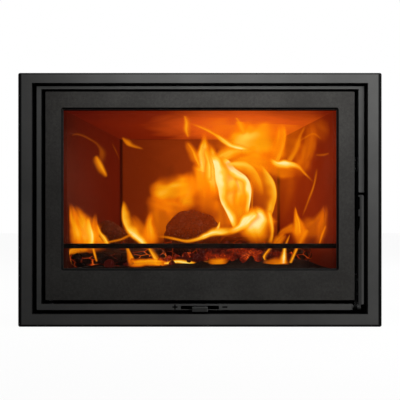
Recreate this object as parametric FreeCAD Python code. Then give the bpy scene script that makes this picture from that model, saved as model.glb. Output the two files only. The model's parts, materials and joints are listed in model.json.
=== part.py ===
# Wood-burning fireplace insert with a hinged glass door, in millimetres.
# +Z is up, the front faces -Y, and the origin is at the middle of the base.
# Depths are measured backwards from the front face of the surround.
import FreeCAD
import Part
import os

V = FreeCAD.Vector

# Door and its pane
DOOR_W = 659.0
DOOR_H = 445.0
DOOR_T = 18.0
DOOR_SETBACK = 10.0
DOOR_STILE = 38.5
DOOR_RAIL_TOP = 38.8
DOOR_RAIL_BOTTOM = 68.2
DOOR_CORNER_R = 3.0
DOOR_EDGE_R = 1.5
DOOR_HEEL_CHAMFER = 5.0
PANE_CORNER_R = 1.0
PANE_BEVEL = 4.5
PANE_ARRIS = 0.5
GLASS_T = 4.0
GLASS_LAP = 6.0
GLASS_PLAY = 0.5
GLASS_SEAL_T = 2.0
RETAINER_T = 2.0
RETAINER_MARGIN = 5.0
RETAINER_PLAY = 0.5
RETAINER_SIGHT = 1.0
RETAINER_SCREW_R = 1.5
RETAINER_SCREW_L = 4.0
RETAINER_SCREW_HEAD_R = 2.3
RETAINER_SCREW_HEAD_T = 1.0
RETAINER_SCREWS_PER_SIDE = 3
GROOVE_WALL = 1.5
GROOVE_DEPTH = 3.0
ROPE_D = 10.0
ROPE_CORNER_R = 12.0
SEAL_PLAY = 0.3

# Gaps round the door, and the fixed frame's bars
DOOR_GAP_SIDE = 7.4
DOOR_GAP_TOP = 4.2
DOOR_GAP_BOTTOM = 6.8
BAR_LEFT = 10.5
BAR_RIGHT = 12.5
BAR_TOP = 7.0
BAR_BOTTOM = 13.6
FRAME_SETBACK = 8.0
FRAME_DEPTH = 40.0
FRAME_EDGE_R = 0.8

# Surround
FRAME_GAP_LEFT = 8.6
FRAME_GAP_RIGHT = 6.6
FRAME_GAP_TOP = 5.6
FRAME_GAP_BOTTOM = 7.7
TRIM_BAND_SIDE = 29.0
TRIM_BAND_TOP = 21.3
TRIM_BAND_BOTTOM = 26.7
TRIM_DEPTH = 18.0
TRIM_SHEET = 2.5
TRIM_CORNER_R = 4.0
TRIM_EDGE_R = 2.0
BACKING_SHEET = 2.0
BACKING_LAP = 14.0
BACKING_LEG = 26.0
TRIM_SCREW_RISE_LOWER = 150.0
TRIM_SCREW_RISE_UPPER = 400.0
TRIM_SCREW_R = 2.5
TRIM_SCREW_L = 6.0
TRIM_SCREW_HEAD_R = 4.0
TRIM_SCREW_HEAD_T = 2.0

# Door pivots
HINGE_INSET = 12.0
HINGE_DEPTH = 10.0
HINGE_PIN_R = 4.0
HINGE_PLAY = 0.05
BUSH_WALL = 2.0
BUSH_L = 12.0
PIN_END_GAP = 1.0
WASHER_R = 8.0
WASHER_PLAY = 0.2

# Lever handle and its pivot on the door
LEVER_TOP_Z = 279.5
LEVER_T = 11.0
LEVER_SETBACK = 7.0
LEVER_SIDE_PLAY = 0.4
LEVER_TIP_R = 4.0
LEVER_GRIP_INSET = 3.0
LEVER_GRIP_FOOT_Z = 213.0
LEVER_SHOULDER_Z = 200.0
LEVER_TAB_Z = 234.0
LEVER_TAB_H = 15.0
LEVER_HOOK_H = 4.5
LEVER_BEVEL = 5.5
LEVER_RECESS_TOP = 5.5
LEVER_RECESS_PLAY = 2.5
KNUCKLE_R = 6.0
KNUCKLE_RISE = 6.6
KNUCKLE_L = 7.2
KNUCKLE_PLAY = 0.3
KNUCKLE_NOTCH_PLAY = 1.0
HANDLE_PIN_R = 3.0
HANDLE_PIN_PLAY = 0.05
HANDLE_PLATE_T = 5.0
HANDLE_PLATE_W = 13.0
HANDLE_PLATE_INSET = 3.0
HANDLE_PLATE_H = 56.0
HANDLE_BOSS_L = 9.0
HANDLE_SCREW_R = 2.0
HANDLE_SCREW_L = 10.0
HANDLE_SCREW_PITCH = 30.0
HANDLE_SCREW_RISE = 14.0
HANDLE_SCREW_HEAD_R = 3.2
HANDLE_SCREW_HEAD_T = 1.0

# Spring catch that holds the door shut
CATCH_Z = 330.0
CATCH_H = 30.0
NOSE_PLATE_T = 1.5
NOSE_PLATE_W = 12.0
NOSE_R = 2.2
NOSE_DEPTH = 14.0
SPRING_T = 0.8
SPRING_FOOT_L = 6.0
SPRING_BUMP = 3.2
SPRING_LEAD = 6.0
SPRING_BUMP_RUN = 9.0
SPRING_TIP_RUN = 7.0
SPRING_TIP_LIFT = 1.2
CATCH_SCREW_R = 1.2
CATCH_SCREW_L = 5.0
CATCH_SCREW_HEAD_R = 2.2
CATCH_SCREW_HEAD_T = 0.9
CATCH_SCREW_INSET = 6.0

# Air slider in the bottom bar, its valve plate and air box
SLOT_W = 81.0
SLOT_H = 8.0
SLOT_RISE = 1.9
TAB_W = 33.5
TAB_H = 11.0
TAB_T = 5.0
TAB_DROP = 3.4
TAB_EDGE_R = 1.5
SLIDER_PLAY = 0.3
STEM_T = 3.0
VALVE_W = 150.0
VALVE_H = 24.0
VALVE_T = 2.0
PORT_W = 40.0
PORT_H = 12.0
PORT_PITCH = 80.0
AIR_BOX_W = 220.0
AIR_BOX_L = 70.0
AIR_BOX_SHEET = 2.0
AIR_BOX_LIP = 4.0
MARK_SIZE = 11.0
MARK_STROKE = 3.2
MARK_DEPTH = 0.8
MARK_OFFSET = 53.0

# Firebox, its seal plate, liners and hearth
SEAL_PLATE_T = 5.0
SEAL_LAND = 5.5
SHELL_STEP = 20.0
SHELL_WALL = 4.0
FIREBOX_DEPTH = 354.0
SMOKE_SPACE = 22.0
ASH_SPACE = 40.0
LEDGE_W = 10.0
LEDGE_H = 8.0
LOG_BAY = 22.0
LINER_T = 20.0
LINER_FRONT_STEP = 2.0
BACK_HALF_W = 194.0
BACK_LINER_T = 22.0
BACK_PANEL_H = 299.0
BAFFLE_T = 15.0
BAFFLE_DROP = 10.0
BAFFLE_FRONT_GAP = 18.0
BAFFLE_SIDE_GAP = 2.0
HEARTH_T = 24.0
HEARTH_RISE = 3.0
GRATE_W = 240.0
GRATE_L = 190.0
GRATE_T = 14.0
GRATE_LEDGE = 8.0
GRATE_PLAY = 1.0
GRATE_BAR = 10.0
GRATE_SLOT = 9.0
GRATE_RIM = 14.0
ASH_PAN_SHEET = 1.5
ASH_PAN_PLAY = 4.0
ASH_PAN_H = 32.0
LOG_BAR_Z = 164.0
LOG_BAR_H = 10.5
LOG_BAR_T = 8.0
LOG_BAR_LAP = 7.0
LOG_BAR_PLAY = 0.3
LOG_BAR_EDGE_R = 2.0
LOG_BRACKET_WALL = 5.0
LOG_BRACKET_W = 9.0
LOG_BRACKET_STEP = 1.0
DEFLECTOR_T = 3.0
DEFLECTOR_REACH = 18.0
DEFLECTOR_FALL = 6.0

# Outer casing, base rails and flue
CASING_SHEET = 2.0
CASING_LAP = 6.0
CASING_LAP_TOP = 5.0
CASING_DROP = 8.0
CASING_BACK_GAP = 20.0
VENT_W = 60.0
VENT_L = 10.0
VENT_COUNT = 7
VENT_PITCH = 84.0
VENT_FRONT = 24.0
DUCT_W = 120.0
DUCT_L = 30.0
DUCT_FRONT = 26.0
RAIL_SHEET = 3.0
RAIL_OFFSET = 270.0
RAIL_TOP_FLANGE = 30.0
RAIL_FOOT = 45.0
RAIL_FRONT = 70.0
RAIL_L = 330.0
HEARTH_HOLE_R = 5.5
HEARTH_HOLE_INSET = 25.0
HEARTH_HOLE_EDGE = 22.0
FLUE_DEPTH = 250.0
FLUE_BORE_R = 90.5
FLUE_SOCKET = 50.0
FLUE_STOP = 5.0
COLLAR_WALL = 6.0
COLLAR_STAND = 42.0
COLLAR_FLANGE_R = 120.0
COLLAR_FLANGE_T = 6.0
GASKET_T = 2.0
COVER_RING_T = 2.0
COVER_RING_LAP = 14.0
COVER_RING_PLAY = 0.5
CASING_HOLE_PLAY = 5.0
FLUE_BOLT_R = 4.0
FLUE_BOLT_HEAD_R = 6.5
FLUE_BOLT_HEAD_T = 4.0
FLUE_BOLT_COUNT = 4

# Places worked out from the sizes above, each rectangle as x low, x high, z low, z high
FRAME_BOTTOM = TRIM_BAND_BOTTOM + FRAME_GAP_BOTTOM
DOOR_BOTTOM = FRAME_BOTTOM + BAR_BOTTOM + DOOR_GAP_BOTTOM
DOOR_TOP = DOOR_BOTTOM + DOOR_H
DOOR_HALF = DOOR_W / 2
DOOR_RECT = (-DOOR_HALF, DOOR_HALF, DOOR_BOTTOM, DOOR_TOP)
PANE_RECT = (-DOOR_HALF + DOOR_STILE, DOOR_HALF - DOOR_STILE,
             DOOR_BOTTOM + DOOR_RAIL_BOTTOM, DOOR_TOP - DOOR_RAIL_TOP)
DOOR_BACK = DOOR_SETBACK + DOOR_T


def grown(rect, margin):
    """A rectangle made larger by a margin on every side."""
    return (rect[0] - margin, rect[1] + margin, rect[2] - margin, rect[3] + margin)


GLASS_RECT = grown(PANE_RECT, GLASS_LAP)
GLASS_POCKET = grown(GLASS_RECT, GLASS_PLAY)
RETAINER_POCKET = grown(GLASS_POCKET, RETAINER_MARGIN)
GROOVE_IN = grown(RETAINER_POCKET, GROOVE_WALL)
GROOVE_OUT = grown(GROOVE_IN, ROPE_D)
ROPE_LINE = grown(GROOVE_IN, ROPE_D / 2)
GLASS_BACK = DOOR_BACK - RETAINER_T
GLASS_FRONT = GLASS_BACK - GLASS_T
LIP_BACK = GLASS_FRONT - GLASS_SEAL_T

FRAME_HOLE = (-DOOR_HALF - DOOR_GAP_SIDE, DOOR_HALF + DOOR_GAP_SIDE,
              DOOR_BOTTOM - DOOR_GAP_BOTTOM, DOOR_TOP + DOOR_GAP_TOP)
FRAME_RECT = (FRAME_HOLE[0] - BAR_LEFT, FRAME_HOLE[1] + BAR_RIGHT,
              FRAME_BOTTOM, FRAME_HOLE[3] + BAR_TOP)
FRAME_BACK = FRAME_SETBACK + FRAME_DEPTH
TRIM_HOLE = (FRAME_RECT[0] - FRAME_GAP_LEFT, FRAME_RECT[1] + FRAME_GAP_RIGHT,
             TRIM_BAND_BOTTOM, FRAME_RECT[3] + FRAME_GAP_TOP)
TRIM_RECT = (TRIM_HOLE[0] - TRIM_BAND_SIDE, TRIM_HOLE[1] + TRIM_BAND_SIDE,
             0.0, TRIM_HOLE[3] + TRIM_BAND_TOP)

SEAL_FRONT = DOOR_BACK - GROOVE_DEPTH + ROPE_D + SEAL_PLAY
SEAL_BACK = SEAL_FRONT + SEAL_PLATE_T
SEAL_HOLE = grown(GROOVE_IN, -SEAL_LAND)
SHELL_HALF = SEAL_HOLE[1] + SHELL_STEP
SHELL_BACK = SEAL_BACK + FIREBOX_DEPTH
HEARTH_TOP = SEAL_HOLE[2] + HEARTH_RISE
HEARTH_BOTTOM = HEARTH_TOP - HEARTH_T
SHELL_FLOOR = HEARTH_BOTTOM - ASH_SPACE
SHELL_CEILING = SEAL_HOLE[3] + SMOKE_SPACE
SHELL_TOP = SHELL_CEILING + SHELL_WALL
LINER_FRONT = SEAL_BACK + LOG_BAY
LINER_FRONT_HALF = PANE_RECT[1] - LINER_FRONT_STEP
BACK_FACE = SHELL_BACK - BACK_LINER_T
BAFFLE_FRONT = LINER_FRONT + BAFFLE_FRONT_GAP
BAFFLE_FRONT_Z = SEAL_HOLE[3] - BAFFLE_DROP
BAFFLE_BACK_Z = HEARTH_TOP + BACK_PANEL_H
BAFFLE_SLOPE = (BAFFLE_FRONT_Z - BAFFLE_BACK_Z) / (BACK_FACE - BAFFLE_FRONT)
GRATE_MIDDLE = (LINER_FRONT + BACK_FACE) / 2

CASING_HALF = FRAME_HOLE[1] + CASING_LAP
CASING_BOTTOM = FRAME_HOLE[2] - CASING_DROP
CASING_TOP = FRAME_HOLE[3] + CASING_LAP_TOP
CASING_BACK = SHELL_BACK + SHELL_WALL + CASING_BACK_GAP
TOTAL_DEPTH = CASING_BACK + CASING_SHEET
FRONT_Y = -TOTAL_DEPTH / 2
COLLAR_R = FLUE_BORE_R + COLLAR_WALL
COLLAR_FOOT = SHELL_TOP + GASKET_T
COLLAR_TOP = CASING_TOP + COLLAR_STAND
FLUE_THROAT_R = FLUE_BORE_R - FLUE_STOP
FLUE_BOLT_CIRCLE = (COLLAR_R + COLLAR_FLANGE_R) / 2
CASING_HOLE_R = COLLAR_FLANGE_R + CASING_HOLE_PLAY

HINGE_X = -DOOR_HALF + HINGE_INSET
HINGE_D = DOOR_SETBACK + HINGE_DEPTH
BUSH_R = HINGE_PIN_R + HINGE_PLAY + BUSH_WALL
LEVER_D = LEVER_SETBACK + LEVER_T / 2
KNUCKLE_Z = FRAME_BOTTOM + KNUCKLE_RISE
HANDLE_PLATE_OUT = DOOR_HALF + HANDLE_PLATE_T
KNUCKLE_LEFT = HANDLE_PLATE_OUT + KNUCKLE_PLAY
KNUCKLE_RIGHT = KNUCKLE_LEFT + KNUCKLE_L
BOSS_LEFT = HANDLE_PLATE_OUT - HANDLE_BOSS_L
LEVER_LEFT = FRAME_HOLE[1] + LEVER_SIDE_PLAY
LEVER_RIGHT = FRAME_RECT[1] - LEVER_SIDE_PLAY
LEVER_RECESS_BACK = LEVER_D + max(LEVER_T / 2, KNUCKLE_R) + LEVER_RECESS_PLAY

SLOT_BOTTOM = FRAME_BOTTOM + SLOT_RISE
STEM_BOTTOM = SLOT_BOTTOM + SLIDER_PLAY
VALVE_TOP = STEM_BOTTOM + STEM_T
VALVE_FRONT = FRAME_BACK + SLIDER_PLAY
VALVE_BACK = VALVE_FRONT + VALVE_T
VALVE_BOTTOM = VALVE_TOP - VALVE_H
AIR_BOX_FRONT = VALVE_BACK + SLIDER_PLAY
AIR_BOX_BOTTOM = VALVE_BOTTOM - SLIDER_PLAY - AIR_BOX_SHEET
PORT_Z = (VALVE_BOTTOM + VALVE_TOP) / 2
MARK_Z = FRAME_BOTTOM + BAR_BOTTOM / 2

# Two places this close are the same
SAME_PLACE = 1e-6


# Shape helpers
def block(x0, x1, d0, d1, z0, z1):
    """Box between two x, two depths and two heights."""
    return Part.makeBox(x1 - x0, d1 - d0, z1 - z0, V(x0, FRONT_Y + d0, z0))


def slab(rect, d0, d1):
    """Upright slab over a front-view rectangle."""
    return block(rect[0], rect[1], d0, d1, rect[2], rect[3])


def window(outer, inner, d0, d1):
    """Slab with a rectangular hole through it."""
    return slab(outer, d0, d1).cut(slab(inner, d0, d1))


def edges_along_depth(shape):
    """Straight edges that run from front to back."""
    found = []
    for edge in shape.Edges:
        span = edge.BoundBox
        if span.XLength < SAME_PLACE and span.ZLength < SAME_PLACE:
            found.append(edge)
    return found


def edges_at_depth(shape, depth):
    """Edges that lie in one upright plane."""
    place = FRONT_Y + depth
    found = []
    for edge in shape.Edges:
        span = edge.BoundBox
        if abs(span.YMin - place) < SAME_PLACE and abs(span.YMax - place) < SAME_PLACE:
            found.append(edge)
    return found


def rounded_slab(rect, radius, d0, d1):
    """Upright slab with rounded corners in front view."""
    plain = slab(rect, d0, d1)
    return plain.makeFillet(radius, edges_along_depth(plain))


def upright(radius, x, d, z0, z1):
    """Vertical cylinder."""
    return Part.makeCylinder(radius, z1 - z0, V(x, FRONT_Y + d, z0), V(0, 0, 1))


def crosswise(radius, x0, x1, d, z):
    """Cylinder that runs from left to right."""
    return Part.makeCylinder(radius, x1 - x0, V(x0, FRONT_Y + d, z), V(1, 0, 0))


def inward(radius, x, z, d0, d1):
    """Cylinder that runs from front to back."""
    return Part.makeCylinder(radius, d1 - d0, V(x, FRONT_Y + d0, z), V(0, 1, 0))


def prism(points, along):
    """Closed outline swept along a straight vector."""
    return Part.Face(Part.makePolygon(points + points[:1])).extrude(along)


def front_prism(outline, d0, d1):
    """Front-view outline of x and z, swept backwards."""
    return prism([V(x, FRONT_Y + d0, z) for x, z in outline], V(0, d1 - d0, 0))


def side_prism(outline, x0, x1):
    """Side-view outline of depth and z, swept to the right."""
    return prism([V(x0, FRONT_Y + d, z) for d, z in outline], V(x1 - x0, 0, 0))


def plan_prism(outline, z0, z1):
    """Plan outline of x and depth, swept upwards."""
    return prism([V(x, FRONT_Y + d, z0) for x, d in outline], V(0, 0, z1 - z0))


def mirrored(shape):
    """The same piece on the other side of the middle plane."""
    return shape.mirror(V(0, 0, 0), V(1, 0, 0))


def save(name, shape):
    """One STEP file for one piece or one group of like pieces."""
    shape.exportStep("parts/" + name + ".step")


def span(a, b):
    """Two numbers, the lower one first."""
    return (min(a, b), max(a, b))


def spread(count, low, high):
    """Evenly spaced places, with half a step left at both ends."""
    step = (high - low) / count
    return [low + step * (i + 0.5) for i in range(count)]


# Surround and its backing
TRIM_SCREW_D = TRIM_DEPTH + (BACKING_SHEET + BACKING_LEG) / 2
TRIM_SCREW_PLACES = [(face_x, outward, rise)
                     for face_x, outward in ((FRAME_RECT[0], -1), (FRAME_RECT[1], 1))
                     for rise in (TRIM_SCREW_RISE_LOWER, TRIM_SCREW_RISE_UPPER)]


def trim_frame():
    """Folded sheet surround: a face with a return at its outer and inner edges."""
    body = rounded_slab(TRIM_RECT, TRIM_CORNER_R, 0.0, TRIM_DEPTH)
    body = body.makeFillet(TRIM_EDGE_R, edges_at_depth(body, 0.0))
    hollow = window(grown(TRIM_RECT, -TRIM_SHEET), grown(TRIM_HOLE, TRIM_SHEET), TRIM_SHEET, TRIM_DEPTH)
    return body.cut(slab(TRIM_HOLE, 0.0, TRIM_DEPTH)).cut(hollow)


def trim_backing():
    """Angle frame behind the surround: it closes the dark gap and is screwed to the front frame's sides."""
    back = TRIM_DEPTH + BACKING_SHEET
    plate = window(grown(TRIM_HOLE, BACKING_LAP), FRAME_RECT, TRIM_DEPTH, back)
    leg = window(grown(FRAME_RECT, BACKING_SHEET), FRAME_RECT, back, TRIM_DEPTH + BACKING_LEG)
    body = plate.fuse(leg).removeSplitter()
    for place in TRIM_SCREW_PLACES:
        body = body.cut(trim_screw_shank(*place))
    return body


def trim_screw_shank(face_x, outward, rise):
    """The screw's shank, which is also the hole for it."""
    ends = span(face_x - outward * TRIM_SCREW_L, face_x + outward * BACKING_SHEET)
    return crosswise(TRIM_SCREW_R, *ends, TRIM_SCREW_D, rise)


def trim_screw(face_x, outward, rise):
    """Pan-head screw through the backing into the front frame."""
    head_foot = face_x + outward * BACKING_SHEET
    ends = span(head_foot, head_foot + outward * TRIM_SCREW_HEAD_T)
    head = crosswise(TRIM_SCREW_HEAD_R, *ends, TRIM_SCREW_D, rise)
    return trim_screw_shank(face_x, outward, rise).fuse(head).removeSplitter()


# Fixed front frame
def mark(x, strokes):
    """Engraved strokes in the bottom bar, each given by its half width and half height."""
    cuts = []
    for half_w, half_h in strokes:
        rect = (x - half_w, x + half_w, MARK_Z - half_h, MARK_Z + half_h)
        cuts.append(slab(rect, FRAME_SETBACK, FRAME_SETBACK + MARK_DEPTH))
    return cuts


def front_frame():
    """Rectangular frame round the door, with the lever's recess and the air slot."""
    body = window(FRAME_RECT, FRAME_HOLE, FRAME_SETBACK, FRAME_BACK)
    body = body.makeFillet(FRAME_EDGE_R, edges_at_depth(body, FRAME_SETBACK))
    recess = block(FRAME_HOLE[1], FRAME_RECT[1], FRAME_SETBACK, LEVER_RECESS_BACK,
                   FRAME_BOTTOM, LEVER_TOP_Z + LEVER_RECESS_TOP)
    notch = block(BOSS_LEFT - KNUCKLE_NOTCH_PLAY, FRAME_RECT[1], FRAME_SETBACK, LEVER_RECESS_BACK,
                  FRAME_BOTTOM, FRAME_HOLE[2])
    slot = block(-SLOT_W / 2, SLOT_W / 2, FRAME_SETBACK, FRAME_BACK, SLOT_BOTTOM, SLOT_BOTTOM + SLOT_H)
    cuts = [recess, notch, slot, hinge_pin_upper(), hinge_pin_lower()]
    half = MARK_SIZE / 2
    stroke = MARK_STROKE / 2
    cuts += mark(-MARK_OFFSET, [(half, stroke), (stroke, half)])
    cuts += mark(MARK_OFFSET, [(half, stroke)])
    cuts += [trim_screw_shank(*place) for place in TRIM_SCREW_PLACES]
    cuts += [keeper_screw_shank(z) for z in CATCH_SCREW_HEIGHTS]
    for tool in cuts:
        body = body.cut(tool)
    return body


# Door pivots
def hinge_pin_upper():
    """Pin pressed through the top bar, reaching down into the door's bush."""
    return upright(HINGE_PIN_R, HINGE_X, HINGE_D, DOOR_TOP - BUSH_L, FRAME_RECT[3])


def hinge_pin_lower():
    """Pin pressed through the bottom bar, reaching up into the door's bush."""
    return upright(HINGE_PIN_R, HINGE_X, HINGE_D, FRAME_BOTTOM, DOOR_BOTTOM + BUSH_L)


def hinge_bush(z0):
    """Bush pressed into the end of the door's left stile."""
    outer = upright(BUSH_R, HINGE_X, HINGE_D, z0, z0 + BUSH_L)
    return outer.cut(upright(HINGE_PIN_R + HINGE_PLAY, HINGE_X, HINGE_D, z0, z0 + BUSH_L))


def thrust_washer():
    """Thick washer on the lower pin that carries the door's weight."""
    outer = upright(WASHER_R, HINGE_X, HINGE_D, FRAME_HOLE[2], DOOR_BOTTOM - WASHER_PLAY)
    return outer.cut(hinge_pin_lower())


# Spring catch
CATCH_SCREW_HEIGHTS = (CATCH_Z + CATCH_SCREW_INSET, CATCH_Z + CATCH_H - CATCH_SCREW_INSET)
NOSE_D = DOOR_SETBACK + NOSE_DEPTH
NOSE_PLATE_BACK = NOSE_D + NOSE_R
NOSE_SCREW_D = (NOSE_PLATE_BACK - NOSE_PLATE_W + NOSE_D - NOSE_R) / 2
SPRING_BUMP_D = NOSE_D - SPRING_LEAD
SPRING_FOOT_FRONT = SPRING_BUMP_D + SPRING_BUMP_RUN
SPRING_FOOT_BACK = SPRING_FOOT_FRONT + SPRING_FOOT_L
SPRING_SCREW_D = (SPRING_FOOT_FRONT + SPRING_FOOT_BACK) / 2


def keeper_spring():
    """Bent leaf spring on the right bar, whose bump the door's nose rides over."""
    wall = FRAME_HOLE[1]
    outer = [(wall, SPRING_FOOT_BACK), (wall, SPRING_FOOT_FRONT), (wall - SPRING_BUMP, SPRING_BUMP_D),
             (wall - SPRING_TIP_LIFT, SPRING_BUMP_D - SPRING_TIP_RUN)]
    inner = [(x - SPRING_T, d) for x, d in reversed(outer)]
    leaf = plan_prism(outer + inner, CATCH_Z, CATCH_Z + CATCH_H)
    for z in CATCH_SCREW_HEIGHTS:
        leaf = leaf.cut(keeper_screw_shank(z))
    return leaf


def keeper_screw_shank(z):
    """Shank of a screw that holds the leaf spring on the right bar."""
    seat = FRAME_HOLE[1]
    return crosswise(CATCH_SCREW_R, seat - SPRING_T, seat + CATCH_SCREW_L, SPRING_SCREW_D, z)


def keeper_screw(z):
    """Small pan-head screw of the leaf spring."""
    face = FRAME_HOLE[1] - SPRING_T
    head = crosswise(CATCH_SCREW_HEAD_R, face - CATCH_SCREW_HEAD_T, face, SPRING_SCREW_D, z)
    return keeper_screw_shank(z).fuse(head).removeSplitter()


def nose_screw_shank(z):
    """Shank of a screw that holds the catch nose on the door's edge."""
    return crosswise(CATCH_SCREW_R, DOOR_HALF - CATCH_SCREW_L, DOOR_HALF + NOSE_PLATE_T, NOSE_SCREW_D, z)


def nose_screw(z):
    """Small pan-head screw of the catch nose."""
    face = DOOR_HALF + NOSE_PLATE_T
    head = crosswise(CATCH_SCREW_HEAD_R, face, face + CATCH_SCREW_HEAD_T, NOSE_SCREW_D, z)
    return nose_screw_shank(z).fuse(head).removeSplitter()


def latch_nose():
    """Plate with a rounded ridge on the door's right edge."""
    plate = block(DOOR_HALF, DOOR_HALF + NOSE_PLATE_T, NOSE_PLATE_BACK - NOSE_PLATE_W, NOSE_PLATE_BACK,
                  CATCH_Z, CATCH_Z + CATCH_H)
    ridge = upright(NOSE_R, DOOR_HALF + NOSE_R, NOSE_D, CATCH_Z, CATCH_Z + CATCH_H)
    body = plate.fuse(ridge).removeSplitter()
    for z in CATCH_SCREW_HEIGHTS:
        body = body.cut(nose_screw_shank(z))
    return body


# Door, glazing and rope seal
RETAINER_OUT = grown(RETAINER_POCKET, -RETAINER_PLAY)
RETAINER_IN = grown(PANE_RECT, RETAINER_SIGHT)
RETAINER_SCREW_LINE = grown(GLASS_POCKET, RETAINER_MARGIN / 2)
RETAINERS = {
    "left": (RETAINER_OUT[0], RETAINER_IN[0], RETAINER_OUT[2], RETAINER_OUT[3]),
    "right": (RETAINER_IN[1], RETAINER_OUT[1], RETAINER_OUT[2], RETAINER_OUT[3]),
    "bottom": (RETAINER_IN[0], RETAINER_IN[1], RETAINER_OUT[2], RETAINER_IN[2]),
    "top": (RETAINER_IN[0], RETAINER_IN[1], RETAINER_IN[3], RETAINER_OUT[3]),
}


def retainer_screw_places():
    """Front-view places of the screws that hold the glass retainers."""
    x0, x1, z0, z1 = RETAINER_SCREW_LINE
    places = []
    for x in spread(RETAINER_SCREWS_PER_SIDE, PANE_RECT[0], PANE_RECT[1]):
        places += [(x, z0), (x, z1)]
    for z in spread(RETAINER_SCREWS_PER_SIDE, PANE_RECT[2], PANE_RECT[3]):
        places += [(x0, z), (x1, z)]
    return places


def retainer_screw_shank(x, z):
    """Shank of one retainer screw, which is also the hole for it."""
    return inward(RETAINER_SCREW_R, x, z, DOOR_BACK - RETAINER_SCREW_L, DOOR_BACK)


def retainer_screw(x, z):
    """Pan-head screw behind the door."""
    head = inward(RETAINER_SCREW_HEAD_R, x, z, DOOR_BACK, DOOR_BACK + RETAINER_SCREW_HEAD_T)
    return retainer_screw_shank(x, z).fuse(head).removeSplitter()


def pane_cut():
    """The door's window: rounded corners, and a bevel that widens towards the front."""
    hole = rounded_slab(PANE_RECT, PANE_CORNER_R, DOOR_SETBACK - PANE_BEVEL, DOOR_BACK)
    wide = rounded_slab(grown(PANE_RECT, PANE_BEVEL), PANE_CORNER_R + PANE_BEVEL,
                        DOOR_SETBACK, DOOR_SETBACK + PANE_BEVEL)
    wide = wide.makeChamfer(PANE_BEVEL - PANE_ARRIS, edges_at_depth(wide, DOOR_SETBACK + PANE_BEVEL))
    return hole.fuse(wide)


def rope_groove():
    """Channel in the back of the door that holds the rope seal."""
    front = DOOR_BACK - GROOVE_DEPTH
    outer = rounded_slab(GROOVE_OUT, ROPE_CORNER_R + ROPE_D / 2, front, DOOR_BACK)
    return outer.cut(rounded_slab(GROOVE_IN, ROPE_CORNER_R - ROPE_D / 2, front, DOOR_BACK))


def door_frame():
    """Cast door frame with its window, glass pocket, rope groove and pivot holes."""
    body = rounded_slab(DOOR_RECT, DOOR_CORNER_R, DOOR_SETBACK, DOOR_BACK)
    body = body.makeFillet(DOOR_EDGE_R, edges_at_depth(body, DOOR_SETBACK))
    heel = plan_prism([(-DOOR_HALF, DOOR_BACK), (-DOOR_HALF + DOOR_HEEL_CHAMFER, DOOR_BACK),
                       (-DOOR_HALF, DOOR_BACK - DOOR_HEEL_CHAMFER)], DOOR_BOTTOM, DOOR_TOP)
    cuts = [heel, pane_cut(), rope_groove()]
    cuts.append(slab(GLASS_POCKET, LIP_BACK, DOOR_BACK))
    cuts.append(slab(RETAINER_POCKET, GLASS_BACK, DOOR_BACK))
    hole = BUSH_L + PIN_END_GAP
    cuts.append(upright(BUSH_R, HINGE_X, HINGE_D, DOOR_BOTTOM, DOOR_BOTTOM + hole))
    cuts.append(upright(BUSH_R, HINGE_X, HINGE_D, DOOR_TOP - hole, DOOR_TOP))
    cuts += [retainer_screw_shank(x, z) for x, z in retainer_screw_places()]
    cuts += [handle_screw_shank(z) for z in HANDLE_SCREW_HEIGHTS]
    cuts += [nose_screw_shank(z) for z in CATCH_SCREW_HEIGHTS]
    for tool in cuts:
        body = body.cut(tool)
    return body


def glass_retainer(rect):
    """Flat strip that holds one edge of the glass."""
    strip = slab(rect, GLASS_BACK, DOOR_BACK)
    for x, z in retainer_screw_places():
        strip = strip.cut(retainer_screw_shank(x, z))
    return strip


def door_seal():
    """Rope seal: four straight runs joined by rounded corners."""
    x0, x1, z0, z1 = ROPE_LINE
    r = ROPE_CORNER_R
    depth = DOOR_BACK - GROOVE_DEPTH + ROPE_D / 2
    y = FRONT_Y + depth
    half = ROPE_D / 2
    runs = [crosswise(half, x0 + r, x1 - r, depth, z) for z in (z0, z1)]
    runs += [upright(half, x, depth, z0 + r, z1 - r) for x in (x0, x1)]
    for cx, sx in ((x0 + r, -1), (x1 - r, 1)):
        for cz, sz in ((z0 + r, -1), (z1 - r, 1)):
            section = Part.Face(Part.Wire(Part.makeCircle(half, V(cx + sx * r, y, cz), V(0, 0, 1))))
            runs.append(section.revolve(V(cx, y, cz), V(0, 1, 0), -90 * sx * sz))
    return runs[0].multiFuse(runs[1:]).removeSplitter()


# Lever handle and its pivot
HANDLE_SCREW_HEIGHTS = (DOOR_BOTTOM + HANDLE_SCREW_RISE, DOOR_BOTTOM + HANDLE_SCREW_RISE + HANDLE_SCREW_PITCH)
HANDLE_PLATE_FRONT = DOOR_SETBACK + HANDLE_PLATE_INSET
HANDLE_PLATE_BACK = HANDLE_PLATE_FRONT + HANDLE_PLATE_W
HANDLE_SCREW_D = (HANDLE_PLATE_FRONT + HANDLE_PLATE_BACK) / 2


def handle_screw_shank(z):
    """Shank of a screw that holds the lever's bracket on the door's edge."""
    return crosswise(HANDLE_SCREW_R, DOOR_HALF - HANDLE_SCREW_L, HANDLE_PLATE_OUT, HANDLE_SCREW_D, z)


def handle_screw(z):
    """Low-head screw of the lever's bracket."""
    head = crosswise(HANDLE_SCREW_HEAD_R, HANDLE_PLATE_OUT, HANDLE_PLATE_OUT + HANDLE_SCREW_HEAD_T,
                     HANDLE_SCREW_D, z)
    return handle_screw_shank(z).fuse(head).removeSplitter()


def handle_pin():
    """Pin on which the lever turns."""
    return crosswise(HANDLE_PIN_R, BOSS_LEFT, KNUCKLE_RIGHT, LEVER_D, KNUCKLE_Z)


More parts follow.
